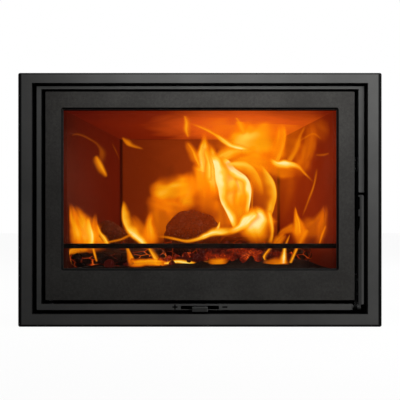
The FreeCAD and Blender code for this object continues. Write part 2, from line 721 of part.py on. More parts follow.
def handle_bracket():
    """Plate on the door's edge that reaches down to the lever's pivot."""
    top = DOOR_BOTTOM + HANDLE_PLATE_H
    outline = [(HANDLE_PLATE_FRONT, top), (HANDLE_PLATE_BACK, top), (HANDLE_PLATE_BACK, DOOR_BOTTOM),
               (LEVER_D + KNUCKLE_R, KNUCKLE_Z + KNUCKLE_R), (LEVER_D + KNUCKLE_R, KNUCKLE_Z),
               (LEVER_D - KNUCKLE_R, KNUCKLE_Z), (HANDLE_PLATE_FRONT, DOOR_BOTTOM)]
    plate = side_prism(outline, DOOR_HALF, HANDLE_PLATE_OUT)
    boss = crosswise(KNUCKLE_R, BOSS_LEFT, HANDLE_PLATE_OUT, LEVER_D, KNUCKLE_Z)
    body = plate.fuse(boss).removeSplitter().cut(handle_pin())
    for z in HANDLE_SCREW_HEIGHTS:
        body = body.cut(handle_screw_shank(z))
    return body


def handle_lever():
    """Flat lever with a narrower grip, a hooked tip and a knuckle at its foot."""
    left = LEVER_LEFT
    right = LEVER_RIGHT
    grip = left + LEVER_GRIP_INSET
    foot = KNUCKLE_Z + KNUCKLE_R
    tab_top = LEVER_TAB_Z + LEVER_TAB_H
    hook = LEVER_TOP_Z - LEVER_HOOK_H
    back = LEVER_SETBACK + LEVER_T
    outline = [(left, foot), (right, foot), (right, LEVER_TOP_Z), (left, LEVER_TOP_Z), (left, hook),
               (grip, hook), (grip, tab_top), (left, tab_top), (left, LEVER_TAB_Z), (grip, LEVER_TAB_Z),
               (grip, LEVER_GRIP_FOOT_Z), (left, LEVER_SHOULDER_Z)]
    bar = front_prism(outline, LEVER_SETBACK, back)
    tip = []
    for edge in edges_along_depth(bar):
        span = edge.BoundBox
        if abs(span.XMin - right) < SAME_PLACE and abs(span.ZMin - LEVER_TOP_Z) < SAME_PLACE:
            tip.append(edge)
    bar = bar.makeFillet(LEVER_TIP_R, tip)
    bevel = plan_prism([(right, LEVER_SETBACK), (right - LEVER_BEVEL, LEVER_SETBACK),
                        (right, LEVER_SETBACK + LEVER_BEVEL)], foot, LEVER_TOP_Z)
    knuckle = crosswise(KNUCKLE_R, KNUCKLE_LEFT, KNUCKLE_RIGHT, LEVER_D, KNUCKLE_Z)
    web = block(left, KNUCKLE_RIGHT, LEVER_SETBACK, back, KNUCKLE_Z, foot)
    body = bar.cut(bevel).multiFuse([knuckle, web]).removeSplitter()
    bore = crosswise(HANDLE_PIN_R + HANDLE_PIN_PLAY, KNUCKLE_LEFT, KNUCKLE_RIGHT, LEVER_D, KNUCKLE_Z)
    return body.cut(bore)


# Air slider, its valve plate and the air box
AIR_TRAVEL = (SLOT_W - TAB_W) / 2


def ports(shift, d0, d1):
    """Two air ports side by side, moved sideways by a shift."""
    holes = []
    for middle in (shift - PORT_PITCH / 2, shift + PORT_PITCH / 2):
        rect = (middle - PORT_W / 2, middle + PORT_W / 2, PORT_Z - PORT_H / 2, PORT_Z + PORT_H / 2)
        holes.append(slab(rect, d0, d1))
    return holes


def air_slider():
    """Finger tab in front of the bottom bar, on a flat stem through the slot."""
    back = FRAME_SETBACK - SLIDER_PLAY
    bottom = FRAME_BOTTOM - TAB_DROP
    tab = block(-TAB_W / 2, TAB_W / 2, back - TAB_T, back, bottom, bottom + TAB_H)
    tab = tab.makeFillet(TAB_EDGE_R, edges_at_depth(tab, back - TAB_T))
    stem = block(-TAB_W / 2, TAB_W / 2, back, VALVE_FRONT, STEM_BOTTOM, STEM_BOTTOM + STEM_T)
    return tab.fuse(stem).removeSplitter()


def air_valve_plate():
    """Sliding plate whose ports line up with those of the air box when the tab is at the plus mark."""
    plate = block(-VALVE_W / 2, VALVE_W / 2, VALVE_FRONT, VALVE_BACK, VALVE_BOTTOM, VALVE_TOP)
    for hole in ports(0.0, VALVE_FRONT, VALVE_BACK):
        plate = plate.cut(hole)
    return plate


def air_box():
    """Open-topped sheet box under the casing, with a lipped ledge that the valve plate slides on."""
    half = AIR_BOX_W / 2
    sheet = AIR_BOX_SHEET
    back = AIR_BOX_FRONT + AIR_BOX_L
    floor = AIR_BOX_BOTTOM + sheet
    inside = half - sheet
    box = block(-half, half, AIR_BOX_FRONT, back, AIR_BOX_BOTTOM, CASING_BOTTOM)
    box = box.cut(block(-inside, inside, AIR_BOX_FRONT + sheet, back - sheet, floor, CASING_BOTTOM))
    lip_back = VALVE_FRONT - SLIDER_PLAY
    ledge = block(-half, half, lip_back - sheet, AIR_BOX_FRONT, AIR_BOX_BOTTOM, floor)
    lip = block(-half, half, lip_back - sheet, lip_back, AIR_BOX_BOTTOM, floor + AIR_BOX_LIP)
    box = box.multiFuse([ledge, lip]).removeSplitter()
    for hole in ports(-AIR_TRAVEL, AIR_BOX_FRONT, AIR_BOX_FRONT + sheet):
        box = box.cut(hole)
    return box


# Firebox, liners, baffle and hearth
def seal_plate():
    """Plate welded inside the front frame, which the door's rope seal closes on."""
    return window(FRAME_HOLE, SEAL_HOLE, SEAL_FRONT, SEAL_BACK)


def duct_hole(z0, z1):
    """Way for the combustion air from the air box up into the firebox."""
    front = FRAME_BACK + DUCT_FRONT
    return block(-DUCT_W / 2, DUCT_W / 2, front, front + DUCT_L, z0, z1)


def firebox_shell():
    """Welded box with an open front, ledges for the hearth and a flue hole."""
    floor = SHELL_FLOOR - SHELL_WALL
    outer = block(-SHELL_HALF - SHELL_WALL, SHELL_HALF + SHELL_WALL, SEAL_BACK, SHELL_BACK + SHELL_WALL,
                  floor, SHELL_TOP)
    body = outer.cut(block(-SHELL_HALF, SHELL_HALF, SEAL_BACK, SHELL_BACK, SHELL_FLOOR, SHELL_CEILING))
    ledge = block(SHELL_HALF - LEDGE_W, SHELL_HALF, SEAL_BACK, SHELL_BACK,
                  HEARTH_BOTTOM - LEDGE_H, HEARTH_BOTTOM)
    body = body.multiFuse([ledge, mirrored(ledge)]).removeSplitter()
    body = body.cut(upright(FLUE_THROAT_R, 0.0, FLUE_DEPTH, SHELL_CEILING, SHELL_TOP))
    body = body.cut(duct_hole(floor, SHELL_FLOOR))
    for shank in flue_bolt_shanks():
        body = body.cut(shank)
    return body


def baffle_underside(depth):
    """Height of the sloping baffle's lower face."""
    return BAFFLE_BACK_Z + BAFFLE_SLOPE * (BACK_FACE - depth)


def below_baffle(shape):
    """What is left of a piece under the baffle's lower face."""
    front = baffle_underside(SEAL_BACK)
    outline = [(SEAL_BACK, front), (SHELL_BACK, baffle_underside(SHELL_BACK)),
               (SHELL_BACK, front + SHELL_TOP), (SEAL_BACK, front + SHELL_TOP)]
    return shape.cut(side_prism(outline, -SHELL_HALF, SHELL_HALF))


def liner_run():
    """How far a side liner's thickness reaches across, measured from left to right."""
    splay = (LINER_FRONT_HALF - BACK_HALF_W) / (BACK_FACE - LINER_FRONT)
    return LINER_T * (1 + splay * splay) ** 0.5


def liner_right():
    """Splayed side panel that stands on the hearth."""
    run = liner_run()
    outline = [(LINER_FRONT_HALF, LINER_FRONT), (BACK_HALF_W, BACK_FACE),
               (BACK_HALF_W + run, BACK_FACE), (LINER_FRONT_HALF + run, LINER_FRONT)]
    return below_baffle(plan_prism(outline, HEARTH_TOP, SHELL_TOP))


def liner_back():
    """Back panel that stands on the hearth, behind both side panels."""
    half = BACK_HALF_W + liner_run()
    return below_baffle(block(-half, half, BACK_FACE, SHELL_BACK, HEARTH_TOP, SHELL_TOP))


def smoke_baffle():
    """Sloping slab that lies on the top edges of the liners."""
    half = SHELL_HALF - BAFFLE_SIDE_GAP
    front = baffle_underside(BAFFLE_FRONT)
    back = baffle_underside(SHELL_BACK)
    outline = [(BAFFLE_FRONT, front), (SHELL_BACK, back), (SHELL_BACK, back + BAFFLE_T),
               (BAFFLE_FRONT, front + BAFFLE_T)]
    return side_prism(outline, -half, half)


def grate_block(margin, z0, z1):
    """Block over the grate's place in the hearth, made larger by a margin."""
    half_w = GRATE_W / 2 + margin
    half_l = GRATE_L / 2 + margin
    return block(-half_w, half_w, GRATE_MIDDLE - half_l, GRATE_MIDDLE + half_l, z0, z1)


def hearth_plate():
    """Floor slab of the fire, with a stepped opening for the grate."""
    body = block(-SHELL_HALF, SHELL_HALF, SEAL_BACK, SHELL_BACK, HEARTH_BOTTOM, HEARTH_TOP)
    body = body.cut(grate_block(GRATE_PLAY, HEARTH_TOP - GRATE_T, HEARTH_TOP))
    return body.cut(grate_block(-GRATE_LEDGE, HEARTH_BOTTOM, HEARTH_TOP))


def grate():
    """Cast grate with slots from front to back."""
    body = grate_block(0.0, HEARTH_TOP - GRATE_T, HEARTH_TOP)
    pitch = GRATE_BAR + GRATE_SLOT
    count = int((GRATE_W - 2 * GRATE_RIM + GRATE_BAR) // pitch)
    first = -(count - 1) * pitch / 2
    half_l = GRATE_L / 2 - GRATE_RIM
    for i in range(count):
        middle = first + i * pitch
        body = body.cut(block(middle - GRATE_SLOT / 2, middle + GRATE_SLOT / 2, GRATE_MIDDLE - half_l,
                              GRATE_MIDDLE + half_l, HEARTH_TOP - GRATE_T, HEARTH_TOP))
    return body


def ash_pan():
    """Open sheet tray on the firebox floor, small enough to lift out through the grate's opening."""
    margin = -GRATE_LEDGE - ASH_PAN_PLAY
    body = grate_block(margin, SHELL_FLOOR, SHELL_FLOOR + ASH_PAN_H)
    return body.cut(grate_block(margin - ASH_PAN_SHEET, SHELL_FLOOR + ASH_PAN_SHEET, SHELL_FLOOR + ASH_PAN_H))


LOG_BAR_FRONT = SEAL_BACK + LOG_BRACKET_WALL + LOG_BAR_PLAY


def log_retainer():
    """Bar across the fire that keeps logs off the glass."""
    half = SEAL_HOLE[1] + LOG_BAR_LAP
    bar = block(-half, half, LOG_BAR_FRONT, LOG_BAR_FRONT + LOG_BAR_T, LOG_BAR_Z, LOG_BAR_Z + LOG_BAR_H)
    long_edges = [e for e in bar.Edges if e.BoundBox.XLength > half]
    return bar.makeFillet(LOG_BAR_EDGE_R, long_edges)


def log_bracket_right():
    """Open-topped hook behind the seal plate that the bar drops into."""
    left = SEAL_HOLE[1] + LOG_BRACKET_STEP
    slot_front = LOG_BAR_FRONT - LOG_BAR_PLAY
    slot_back = LOG_BAR_FRONT + LOG_BAR_T + LOG_BAR_PLAY
    top = LOG_BAR_Z + LOG_BAR_H
    body = block(left, left + LOG_BRACKET_W, SEAL_BACK, slot_back + LOG_BRACKET_WALL,
                 LOG_BAR_Z - LOG_BRACKET_WALL, top)
    return body.cut(block(left, left + LOG_BRACKET_W, slot_front, slot_back, LOG_BAR_Z, top))


def airwash_deflector():
    """Angled strip above the window that turns air down over the glass."""
    low = SEAL_HOLE[3]
    far = SEAL_BACK + DEFLECTOR_REACH
    near = SEAL_BACK + DEFLECTOR_T
    outline = [(SEAL_BACK, low), (SEAL_BACK, SHELL_CEILING), (near, SHELL_CEILING), (near, low + DEFLECTOR_T),
               (far, low + DEFLECTOR_T - DEFLECTOR_FALL), (far, low - DEFLECTOR_FALL)]
    return side_prism(outline, SEAL_HOLE[0], SEAL_HOLE[1])


# Outer casing, base rails and flue
def casing_wrap():
    """Sheet folded over both sides and the top, with warm-air slots and a flue opening."""
    sheet = CASING_SHEET
    outer = block(-CASING_HALF, CASING_HALF, FRAME_BACK, CASING_BACK, CASING_BOTTOM, CASING_TOP)
    body = outer.cut(block(-CASING_HALF + sheet, CASING_HALF - sheet, FRAME_BACK, CASING_BACK,
                           CASING_BOTTOM, CASING_TOP - sheet))
    body = body.cut(upright(CASING_HOLE_R, 0.0, FLUE_DEPTH, CASING_TOP - sheet, CASING_TOP))
    front = FRAME_BACK + VENT_FRONT
    for i in range(VENT_COUNT):
        middle = (i - (VENT_COUNT - 1) / 2) * VENT_PITCH
        body = body.cut(block(middle - VENT_W / 2, middle + VENT_W / 2, front, front + VENT_L,
                              CASING_TOP - sheet, CASING_TOP))
    return body


def casing_base():
    """Floor sheet of the casing, between its sides."""
    half = CASING_HALF - CASING_SHEET
    top = CASING_BOTTOM + CASING_SHEET
    body = block(-half, half, FRAME_BACK, CASING_BACK, CASING_BOTTOM, top)
    return body.cut(duct_hole(CASING_BOTTOM, top))


def casing_back():
    """Back sheet of the casing."""
    return block(-CASING_HALF, CASING_HALF, CASING_BACK, TOTAL_DEPTH, CASING_BOTTOM, CASING_TOP)


def base_rail_right():
    """Folded skid under the casing, with bolt holes to the hearth in its foot."""
    span_d = (RAIL_FRONT, RAIL_FRONT + RAIL_L)
    x = RAIL_OFFSET
    flange = block(x - RAIL_TOP_FLANGE, x, *span_d, CASING_BOTTOM - RAIL_SHEET, CASING_BOTTOM)
    web = block(x - RAIL_SHEET, x, *span_d, 0.0, CASING_BOTTOM)
    foot = block(x - RAIL_SHEET, x + RAIL_FOOT, *span_d, 0.0, RAIL_SHEET)
    body = web.multiFuse([flange, foot]).removeSplitter()
    for d in (span_d[0] + HEARTH_HOLE_INSET, span_d[1] - HEARTH_HOLE_INSET):
        body = body.cut(upright(HEARTH_HOLE_R, x + HEARTH_HOLE_EDGE, d, 0.0, RAIL_SHEET))
    return body


def flue_tube(radius, z0, z1):
    """Upright cylinder on the flue's axis."""
    return upright(radius, 0.0, FLUE_DEPTH, z0, z1)


def flue_bolt_places():
    """Plan places of the flue bolts, on the diagonals."""
    places = []
    for i in range(FLUE_BOLT_COUNT):
        turn = FreeCAD.Rotation(V(0, 0, 1), 360.0 * (i + 0.5) / FLUE_BOLT_COUNT)
        spot = turn.multVec(V(FLUE_BOLT_CIRCLE, 0, 0))
        places.append((spot.x, FLUE_DEPTH + spot.y))
    return places


def flue_bolt_shanks():
    """Shanks of the flue bolts, from the firebox ceiling to the top of the flange."""
    top = COLLAR_FOOT + COLLAR_FLANGE_T
    return [upright(FLUE_BOLT_R, x, d, SHELL_CEILING, top) for x, d in flue_bolt_places()]


def flue_bolts():
    """Round-head bolts that hold the collar on the firebox."""
    top = COLLAR_FOOT + COLLAR_FLANGE_T
    bolts = []
    for shank, place in zip(flue_bolt_shanks(), flue_bolt_places()):
        head = upright(FLUE_BOLT_HEAD_R, *place, top, top + FLUE_BOLT_HEAD_T)
        bolts.append(shank.fuse(head).removeSplitter())
    return Part.makeCompound(bolts)


def flue_gasket():
    """Flat ring between the firebox and the collar."""
    body = flue_tube(COLLAR_FLANGE_R, SHELL_TOP, COLLAR_FOOT)
    body = body.cut(flue_tube(FLUE_THROAT_R, SHELL_TOP, COLLAR_FOOT))
    for shank in flue_bolt_shanks():
        body = body.cut(shank)
    return body


def flue_collar():
    """Flanged socket that the flue pipe slides down into, as far as its stop."""
    tube = flue_tube(COLLAR_R, COLLAR_FOOT, COLLAR_TOP)
    flange = flue_tube(COLLAR_FLANGE_R, COLLAR_FOOT, COLLAR_FOOT + COLLAR_FLANGE_T)
    body = tube.fuse(flange).removeSplitter()
    body = body.cut(flue_tube(FLUE_THROAT_R, COLLAR_FOOT, COLLAR_TOP))
    body = body.cut(flue_tube(FLUE_BORE_R, COLLAR_TOP - FLUE_SOCKET, COLLAR_TOP))
    for shank in flue_bolt_shanks():
        body = body.cut(shank)
    return body


def flue_cover_ring():
    """Loose ring on the casing that closes its opening round the collar."""
    top = CASING_TOP + COVER_RING_T
    body = flue_tube(CASING_HOLE_R + COVER_RING_LAP, CASING_TOP, top)
    return body.cut(flue_tube(COLLAR_R + COVER_RING_PLAY, CASING_TOP, top))


# One file for each piece
os.makedirs("parts", exist_ok=True)

save("trim_frame", trim_frame())
save("trim_backing", trim_backing())
save("trim_screws", Part.makeCompound([trim_screw(*place) for place in TRIM_SCREW_PLACES]))
save("front_frame", front_frame())
save("hinge_pin_upper", hinge_pin_upper())
save("hinge_pin_lower", hinge_pin_lower())
save("thrust_washer", thrust_washer())
save("keeper_spring", keeper_spring())
save("keeper_screws", Part.makeCompound([keeper_screw(z) for z in CATCH_SCREW_HEIGHTS]))

save("door_frame", door_frame())
save("door_glass", slab(GLASS_RECT, GLASS_FRONT, GLASS_BACK))
save("glass_seal", window(GLASS_RECT, grown(PANE_RECT, RETAINER_SIGHT), LIP_BACK, GLASS_FRONT))
for name, rect in RETAINERS.items():
    save("glass_retainer_" + name, glass_retainer(rect))
save("glass_screws", Part.makeCompound([retainer_screw(x, z) for x, z in retainer_screw_places()]))
save("door_seal", door_seal())
save("hinge_bush_upper", hinge_bush(DOOR_TOP - BUSH_L))
save("hinge_bush_lower", hinge_bush(DOOR_BOTTOM))
save("latch_nose", latch_nose())
save("latch_screws", Part.makeCompound([nose_screw(z) for z in CATCH_SCREW_HEIGHTS]))
save("handle_bracket", handle_bracket())
save("handle_pin", handle_pin())
save("handle_screws", Part.makeCompound([handle_screw(z) for z in HANDLE_SCREW_HEIGHTS]))
save("handle_lever", handle_lever())

save("air_slider", air_slider())
save("air_valve_plate", air_valve_plate())
save("air_box", air_box())

save("seal_plate", seal_plate())
save("firebox_shell", firebox_shell())
save("liner_left", mirrored(liner_right()))
save("liner_right", liner_right())
save("liner_back", liner_back())
save("smoke_baffle", smoke_baffle())
save("hearth_plate", hearth_plate())
save("grate", grate())
save("ash_pan", ash_pan())
save("log_retainer", log_retainer())
save("log_bracket_left", mirrored(log_bracket_right()))
save("log_bracket_right", log_bracket_right())
save("airwash_deflector", airwash_deflector())

save("casing_wrap", casing_wrap())
save("casing_base", casing_base())
save("casing_back", casing_back())
save("base_rail_left", mirrored(base_rail_right()))
save("base_rail_right", base_rail_right())
save("flue_collar", flue_collar())
save("flue_gasket", flue_gasket())
save("flue_bolts", flue_bolts())
save("flue_cover_ring", flue_cover_ring())
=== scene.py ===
"""Looks of a wood-burning fireplace insert with a glass door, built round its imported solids. Metres."""

import bmesh
import bpy
import json
import math
import random
from mathutils import Euler, Matrix, Vector, noise


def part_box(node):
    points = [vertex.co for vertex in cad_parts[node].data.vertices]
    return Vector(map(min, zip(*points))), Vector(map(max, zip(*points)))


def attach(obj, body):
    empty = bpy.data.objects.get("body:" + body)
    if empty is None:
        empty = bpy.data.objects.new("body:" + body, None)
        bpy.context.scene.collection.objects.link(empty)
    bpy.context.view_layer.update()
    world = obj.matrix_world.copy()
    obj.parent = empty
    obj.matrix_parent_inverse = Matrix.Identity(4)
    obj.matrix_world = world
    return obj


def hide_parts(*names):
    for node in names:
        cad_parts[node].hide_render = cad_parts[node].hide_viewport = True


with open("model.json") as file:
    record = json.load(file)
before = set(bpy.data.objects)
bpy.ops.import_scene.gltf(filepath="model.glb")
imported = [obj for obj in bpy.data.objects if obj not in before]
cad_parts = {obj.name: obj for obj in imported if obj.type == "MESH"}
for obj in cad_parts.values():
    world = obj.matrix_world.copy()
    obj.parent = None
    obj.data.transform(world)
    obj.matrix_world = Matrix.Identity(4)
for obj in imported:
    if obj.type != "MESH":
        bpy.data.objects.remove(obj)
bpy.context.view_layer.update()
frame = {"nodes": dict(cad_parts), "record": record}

# Places taken from the solids
surround_low, surround_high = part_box("trim_frame")
baffle_low, baffle_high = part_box("smoke_baffle")
rope_low, rope_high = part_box("door_seal")
tape_low, tape_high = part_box("glass_seal")
FRONT_Y = surround_low.y
MIDDLE_Z = (surround_low.z + surround_high.z) / 2
STRIP_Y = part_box("front_frame")[0].y
HEARTH_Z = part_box("hearth_plate")[1].z
FIRE_FRONT_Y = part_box("liner_left")[0].y
FIRE_BACK_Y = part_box("liner_back")[0].y

# The photograph's frame
PHOTO_PX = 400
METRES_PER_PX = 0.002117
CAMERA_AWAY = 2.2
SENSOR_MM = 36.0
EYE = Vector((0.0002, FRONT_Y - CAMERA_AWAY, 0.2687))


def from_photo(px, py, depth):
    """Point that shows at a pixel of the photograph, at a depth behind the surround's face."""
    step = METRES_PER_PX * (CAMERA_AWAY + depth) / CAMERA_AWAY
    across = (px - PHOTO_PX / 2) * step
    up = (PHOTO_PX / 2 - py) * step
    return Vector((EYE.x + across, FRONT_Y + depth, EYE.z + up))


# Camera
def place_camera():
    """Camera square to the front, framed as the photograph."""
    data = bpy.data.cameras.new("camera")
    data.sensor_width = SENSOR_MM
    data.lens = SENSOR_MM * CAMERA_AWAY / (PHOTO_PX * METRES_PER_PX)
    camera = put_in_scene("camera", data)
    camera.location = EYE
    camera.rotation_euler = (math.radians(90.0), 0.0, 0.0)
    bpy.context.scene.camera = camera


# Helpers for node trees
NOISE_LOW = 0.3
NOISE_HIGH = 0.7


def add(tree, kind, inputs=None, **settings):
    """New node with its settings and socket values; a value that is a socket is linked."""
    node = tree.nodes.new(kind)
    for name, value in settings.items():
        setattr(node, name, value)
    for name, value in (inputs or {}).items():
        plug(tree, node.inputs[name], value)
    return node


def plug(tree, socket, value):
    """Sets a socket, or links it where the value is another node's output."""
    if isinstance(value, bpy.types.NodeSocket):
        tree.links.new(value, socket)
    else:
        socket.default_value = value


def maths(tree, operation, first, second=0.5, third=0.5, clamp=False):
    """Output of a Math node."""
    node = add(tree, "ShaderNodeMath", {0: first, 1: second, 2: third}, operation=operation, use_clamp=clamp)
    return node.outputs["Value"]


def times(tree, first, second):
    """Product of two values."""
    return maths(tree, "MULTIPLY", first, second)


def weighed(tree, first, first_weight, second, second_weight):
    """Sum of two values, each with its own weight."""
    return maths(tree, "MULTIPLY_ADD", first, first_weight, times(tree, second, second_weight))


def spread(tree, value, low, high, to_low=0.0, to_high=1.0):
    """A value taken from one range to another, held at both ends and eased between them."""
    node = add(tree, "ShaderNodeMapRange", {"Value": value, "From Min": low, "From Max": high,
                                            "To Min": to_low, "To Max": to_high},
               interpolation_type="SMOOTHSTEP")
    return node.outputs["Result"]


def varied(tree, value, to_low=0.0, to_high=1.0):
    """A noise value, taken from the middle of its range to another range."""
    return spread(tree, value, NOISE_LOW, NOISE_HIGH, to_low, to_high)


def blended(tree, factor, first, second, how="MIX"):
    """Output of a colour Mix node."""
    node = add(tree, "ShaderNodeMix", data_type="RGBA", blend_type=how)
    plug(tree, node.inputs["Factor"], factor)
    plug(tree, node.inputs[6], first)
    plug(tree, node.inputs[7], second)
    return node.outputs[2]


def shaded(tree, colour, shade):
    """A colour made darker or lighter by a shade."""
    return blended(tree, 1.0, colour, shade, "MULTIPLY")


def partly(tree, mask, share, first, second):
    """The second colour laid over the first, by a share of a mask."""
    return blended(tree, times(tree, mask, share), first, second)


def ramp(tree, value, stops):
    """Output of a Color Ramp with (place, colour) stops."""
    node = add(tree, "ShaderNodeValToRGB", {"Fac": value})
    elements = node.color_ramp.elements
    while len(elements) < len(stops):
        elements.new(1.0)
    for element, (position, colour) in zip(elements, stops):
        element.position = position
        element.color = colour
    return node.outputs["Color"]


def speckle(tree, vector, scale, detail=3.0, roughness=0.55, distortion=0.0):
    """Value of a Noise texture."""
    node = add(tree, "ShaderNodeTexNoise", {"Vector": vector, "Scale": scale, "Detail": detail,
                                            "Roughness": roughness, "Distortion": distortion})
    return node.outputs["Fac"]


def stretched(tree, vector, scale):
    """Vector scaled by a Mapping node."""
    return add(tree, "ShaderNodeMapping", {"Vector": vector, "Scale": scale}).outputs["Vector"]


def place(tree):
    """Object coordinates, in metres."""
    return add(tree, "ShaderNodeTexCoord").outputs["Object"]


def part_of(tree, vector, axis):
    """One coordinate of a vector."""
    return add(tree, "ShaderNodeSeparateXYZ", {"Vector": vector}).outputs[axis]


def facing(tree, axis):
    """How far the surface's own normal points along an axis."""
    return part_of(tree, add(tree, "ShaderNodeTexCoord").outputs["Normal"], axis)


def facing_front(tree, start, end):
    """Mask of the faces that look forwards."""
    return spread(tree, times(tree, facing(tree, "Y"), -1.0), start, end)


def over_hearth(tree, where, low, high, to_low=0.0, to_high=1.0):
    """A value that goes from one level to another between two heights over the hearth."""
    return spread(tree, part_of(tree, where, "Z"), HEARTH_Z + low, HEARTH_Z + high, to_low, to_high)


def bumped(tree, height, strength, distance):
    """Normal of a Bump node."""
    node = add(tree, "ShaderNodeBump", {"Height": height, "Strength": strength, "Distance": distance})
    return node.outputs["Normal"]


def grey(level):
    """Opaque neutral colour."""
    return (level, level, level, 1.0)


# Effects that several finishes share
def new_group(name, outputs, **inputs):
    """Empty node group with a Vector input, float inputs with their values, and named float outputs."""
    tree = bpy.data.node_groups.new(name, "ShaderNodeTree")
    tree.interface.new_socket(name="Vector", in_out="INPUT", socket_type="NodeSocketVector")
    for label, value in inputs.items():
        socket = tree.interface.new_socket(name=label, in_out="INPUT", socket_type="NodeSocketFloat")
        socket.default_value = value
    for label in outputs:
        tree.interface.new_socket(name=label, in_out="OUTPUT", socket_type="NodeSocketFloat")
    start = tree.nodes.new("NodeGroupInput")
    end = tree.nodes.new("NodeGroupOutput")
    return tree, start.outputs, end.inputs


def make_paint_grain():
    """Fine orange-peel grain of a sprayed or cast surface, with slow blotches."""
    tree, given, result = new_group("paint_grain", ["Height", "Shade"], Grain=900.0, Blotch=9.0)
    fine = speckle(tree, given["Vector"], given["Grain"], detail=2.0)
    coarse = speckle(tree, given["Vector"], given["Blotch"], detail=4.0, roughness=0.6)
    plug(tree, result["Height"], fine)
    plug(tree, result["Shade"], weighed(tree, fine, 0.35, coarse, 0.65))
    return tree


def make_edge_rub():
    """Mask of the edges that hands and tools rub, broken up by noise."""
    tree, given, result = new_group("edge_rub", ["Mask"], Radius=0.0015, Wear=0.5)
    soft = add(tree, "ShaderNodeBevel", {"Radius": given["Radius"]}, samples=6)
    sharp = add(tree, "ShaderNodeNewGeometry")
    turn = add(tree, "ShaderNodeVectorMath", {0: soft.outputs["Normal"], 1: sharp.outputs["Normal"]},
               operation="DOT_PRODUCT")
    edge = spread(tree, turn.outputs["Value"], 0.995, 0.85)
    broken = speckle(tree, given["Vector"], 140.0, detail=4.0)
    kept = spread(tree, maths(tree, "ADD", broken, given["Wear"]), 0.75, 1.15)
    plug(tree, result["Mask"], times(tree, edge, kept))
    return tree


def make_soot_film():
    """Patches of soot and pale ash that heat leaves on a surface."""
    tree, given, result = new_group("soot_film", ["Soot", "Ash"], Scale=7.0, Amount=0.5)
    clouds = speckle(tree, given["Vector"], given["Scale"], detail=6.0, roughness=0.6, distortion=0.4)
    dabs = speckle(tree, given["Vector"], times(tree, given["Scale"], 6.0), detail=5.0)
    plug(tree, result["Soot"], spread(tree, maths(tree, "ADD", clouds, given["Amount"]), 0.8, 1.2))
    plug(tree, result["Ash"], spread(tree, times(tree, clouds, dabs), 0.28, 0.42))
    return tree


def make_sheet_marks():
    """Faint rolling lines and handling smears of sheet steel."""
    tree, given, result = new_group("sheet_marks", ["Height", "Shade"], Lines=220.0)
    rolled = stretched(tree, given["Vector"], scale=(0.04, 1.0, 1.0))
    lines = speckle(tree, rolled, given["Lines"], detail=3.0)
    smears = speckle(tree, given["Vector"], 6.0, detail=5.0, roughness=0.65, distortion=0.6)
    plug(tree, result["Height"], lines)
    plug(tree, result["Shade"], weighed(tree, lines, 0.4, smears, 0.6))
    return tree


FIRE_HEART = (0.10, 0.0, 0.33)
FIRE_REACH = 0.46
FIRE_DRIFT = 0.22


def make_fire_light():
    """How strongly the fire lights a place, from its distance to the heart of the flames."""
    tree, given, result = new_group("fire_light", ["Level"], Reach=FIRE_REACH)
    away = add(tree, "ShaderNodeVectorMath", {0: given["Vector"], 1: FIRE_HEART}, operation="DISTANCE")
    share = maths(tree, "DIVIDE", away.outputs["Value"], given["Reach"])
    near = maths(tree, "SUBTRACT", 1.0, share, clamp=True)
    drift = speckle(tree, given["Vector"], 8.0, detail=3.0, distortion=0.8)
    moved = maths(tree, "MULTIPLY_ADD", maths(tree, "SUBTRACT", drift, 0.5), FIRE_DRIFT, near)
    plug(tree, result["Level"], maths(tree, "MAXIMUM", moved, 0.0))
    return tree


paint_grain = make_paint_grain()
edge_rub = make_edge_rub()
soot_film = make_soot_film()
sheet_marks = make_sheet_marks()
fire_light = make_fire_light()


def use(tree, group, **values):
    """Places a shared effect in a material and returns its outputs."""
    return add(tree, "ShaderNodeGroup", values, node_tree=group).outputs


# Finishes
def new_finish(name):
    """New material with its tree and its Principled shader."""
    material = bpy.data.materials.new(name)
    material.use_nodes = True
    tree = material.node_tree
    return material, tree, tree.nodes["Principled BSDF"]


def set_shader(tree, shader, **values):
    """Sets or links the shader's own sockets, by their names with _ for spaces."""
    for name, value in values.items():
        plug(tree, shader.inputs[name.replace("_", " ")], value)


def mix_shaders(tree, share, first, second):
    """Two shaders on one surface, by the share of the second."""
    both = add(tree, "ShaderNodeMixShader", {0: share, 1: first.outputs[0], 2: second.outputs[0]})
    plug(tree, tree.nodes["Material Output"].inputs["Surface"], both.outputs["Shader"])


# Widths of the painted shade band round the surround's outer rim, and of its fade
RIM_SIDE = 0.0085
RIM_TOP = 0.0045
RIM_BOTTOM = 0.0062
RIM_FADE = 0.0028


def painted_rim_shade(tree, where):
    """Mask of painted shade along the turned rim round the outside of the surround, broad at the sides and
    narrow at the ends.
    """
    width = maths(tree, "ABSOLUTE", part_of(tree, where, "X"))
    height = part_of(tree, where, "Z")
    side = surround_high.x - RIM_SIDE
    top = surround_high.z - RIM_TOP
    rim = spread(tree, width, side, side + RIM_FADE)
    rim = maths(tree, "MAXIMUM", rim, spread(tree, height, top, top + RIM_FADE))
    return maths(tree, "MAXIMUM", rim, spread(tree, height, RIM_BOTTOM, RIM_BOTTOM - RIM_FADE))


FACE_SKIN = 0.0002


def filled_marks_and_painted_shade(tree, where):
    """Mask of the filled marks, and of painted shade on everything behind the frame's face."""
    return spread(tree, part_of(tree, where, "Y"), STRIP_Y + FACE_SKIN, STRIP_Y + 2 * FACE_SKIN)


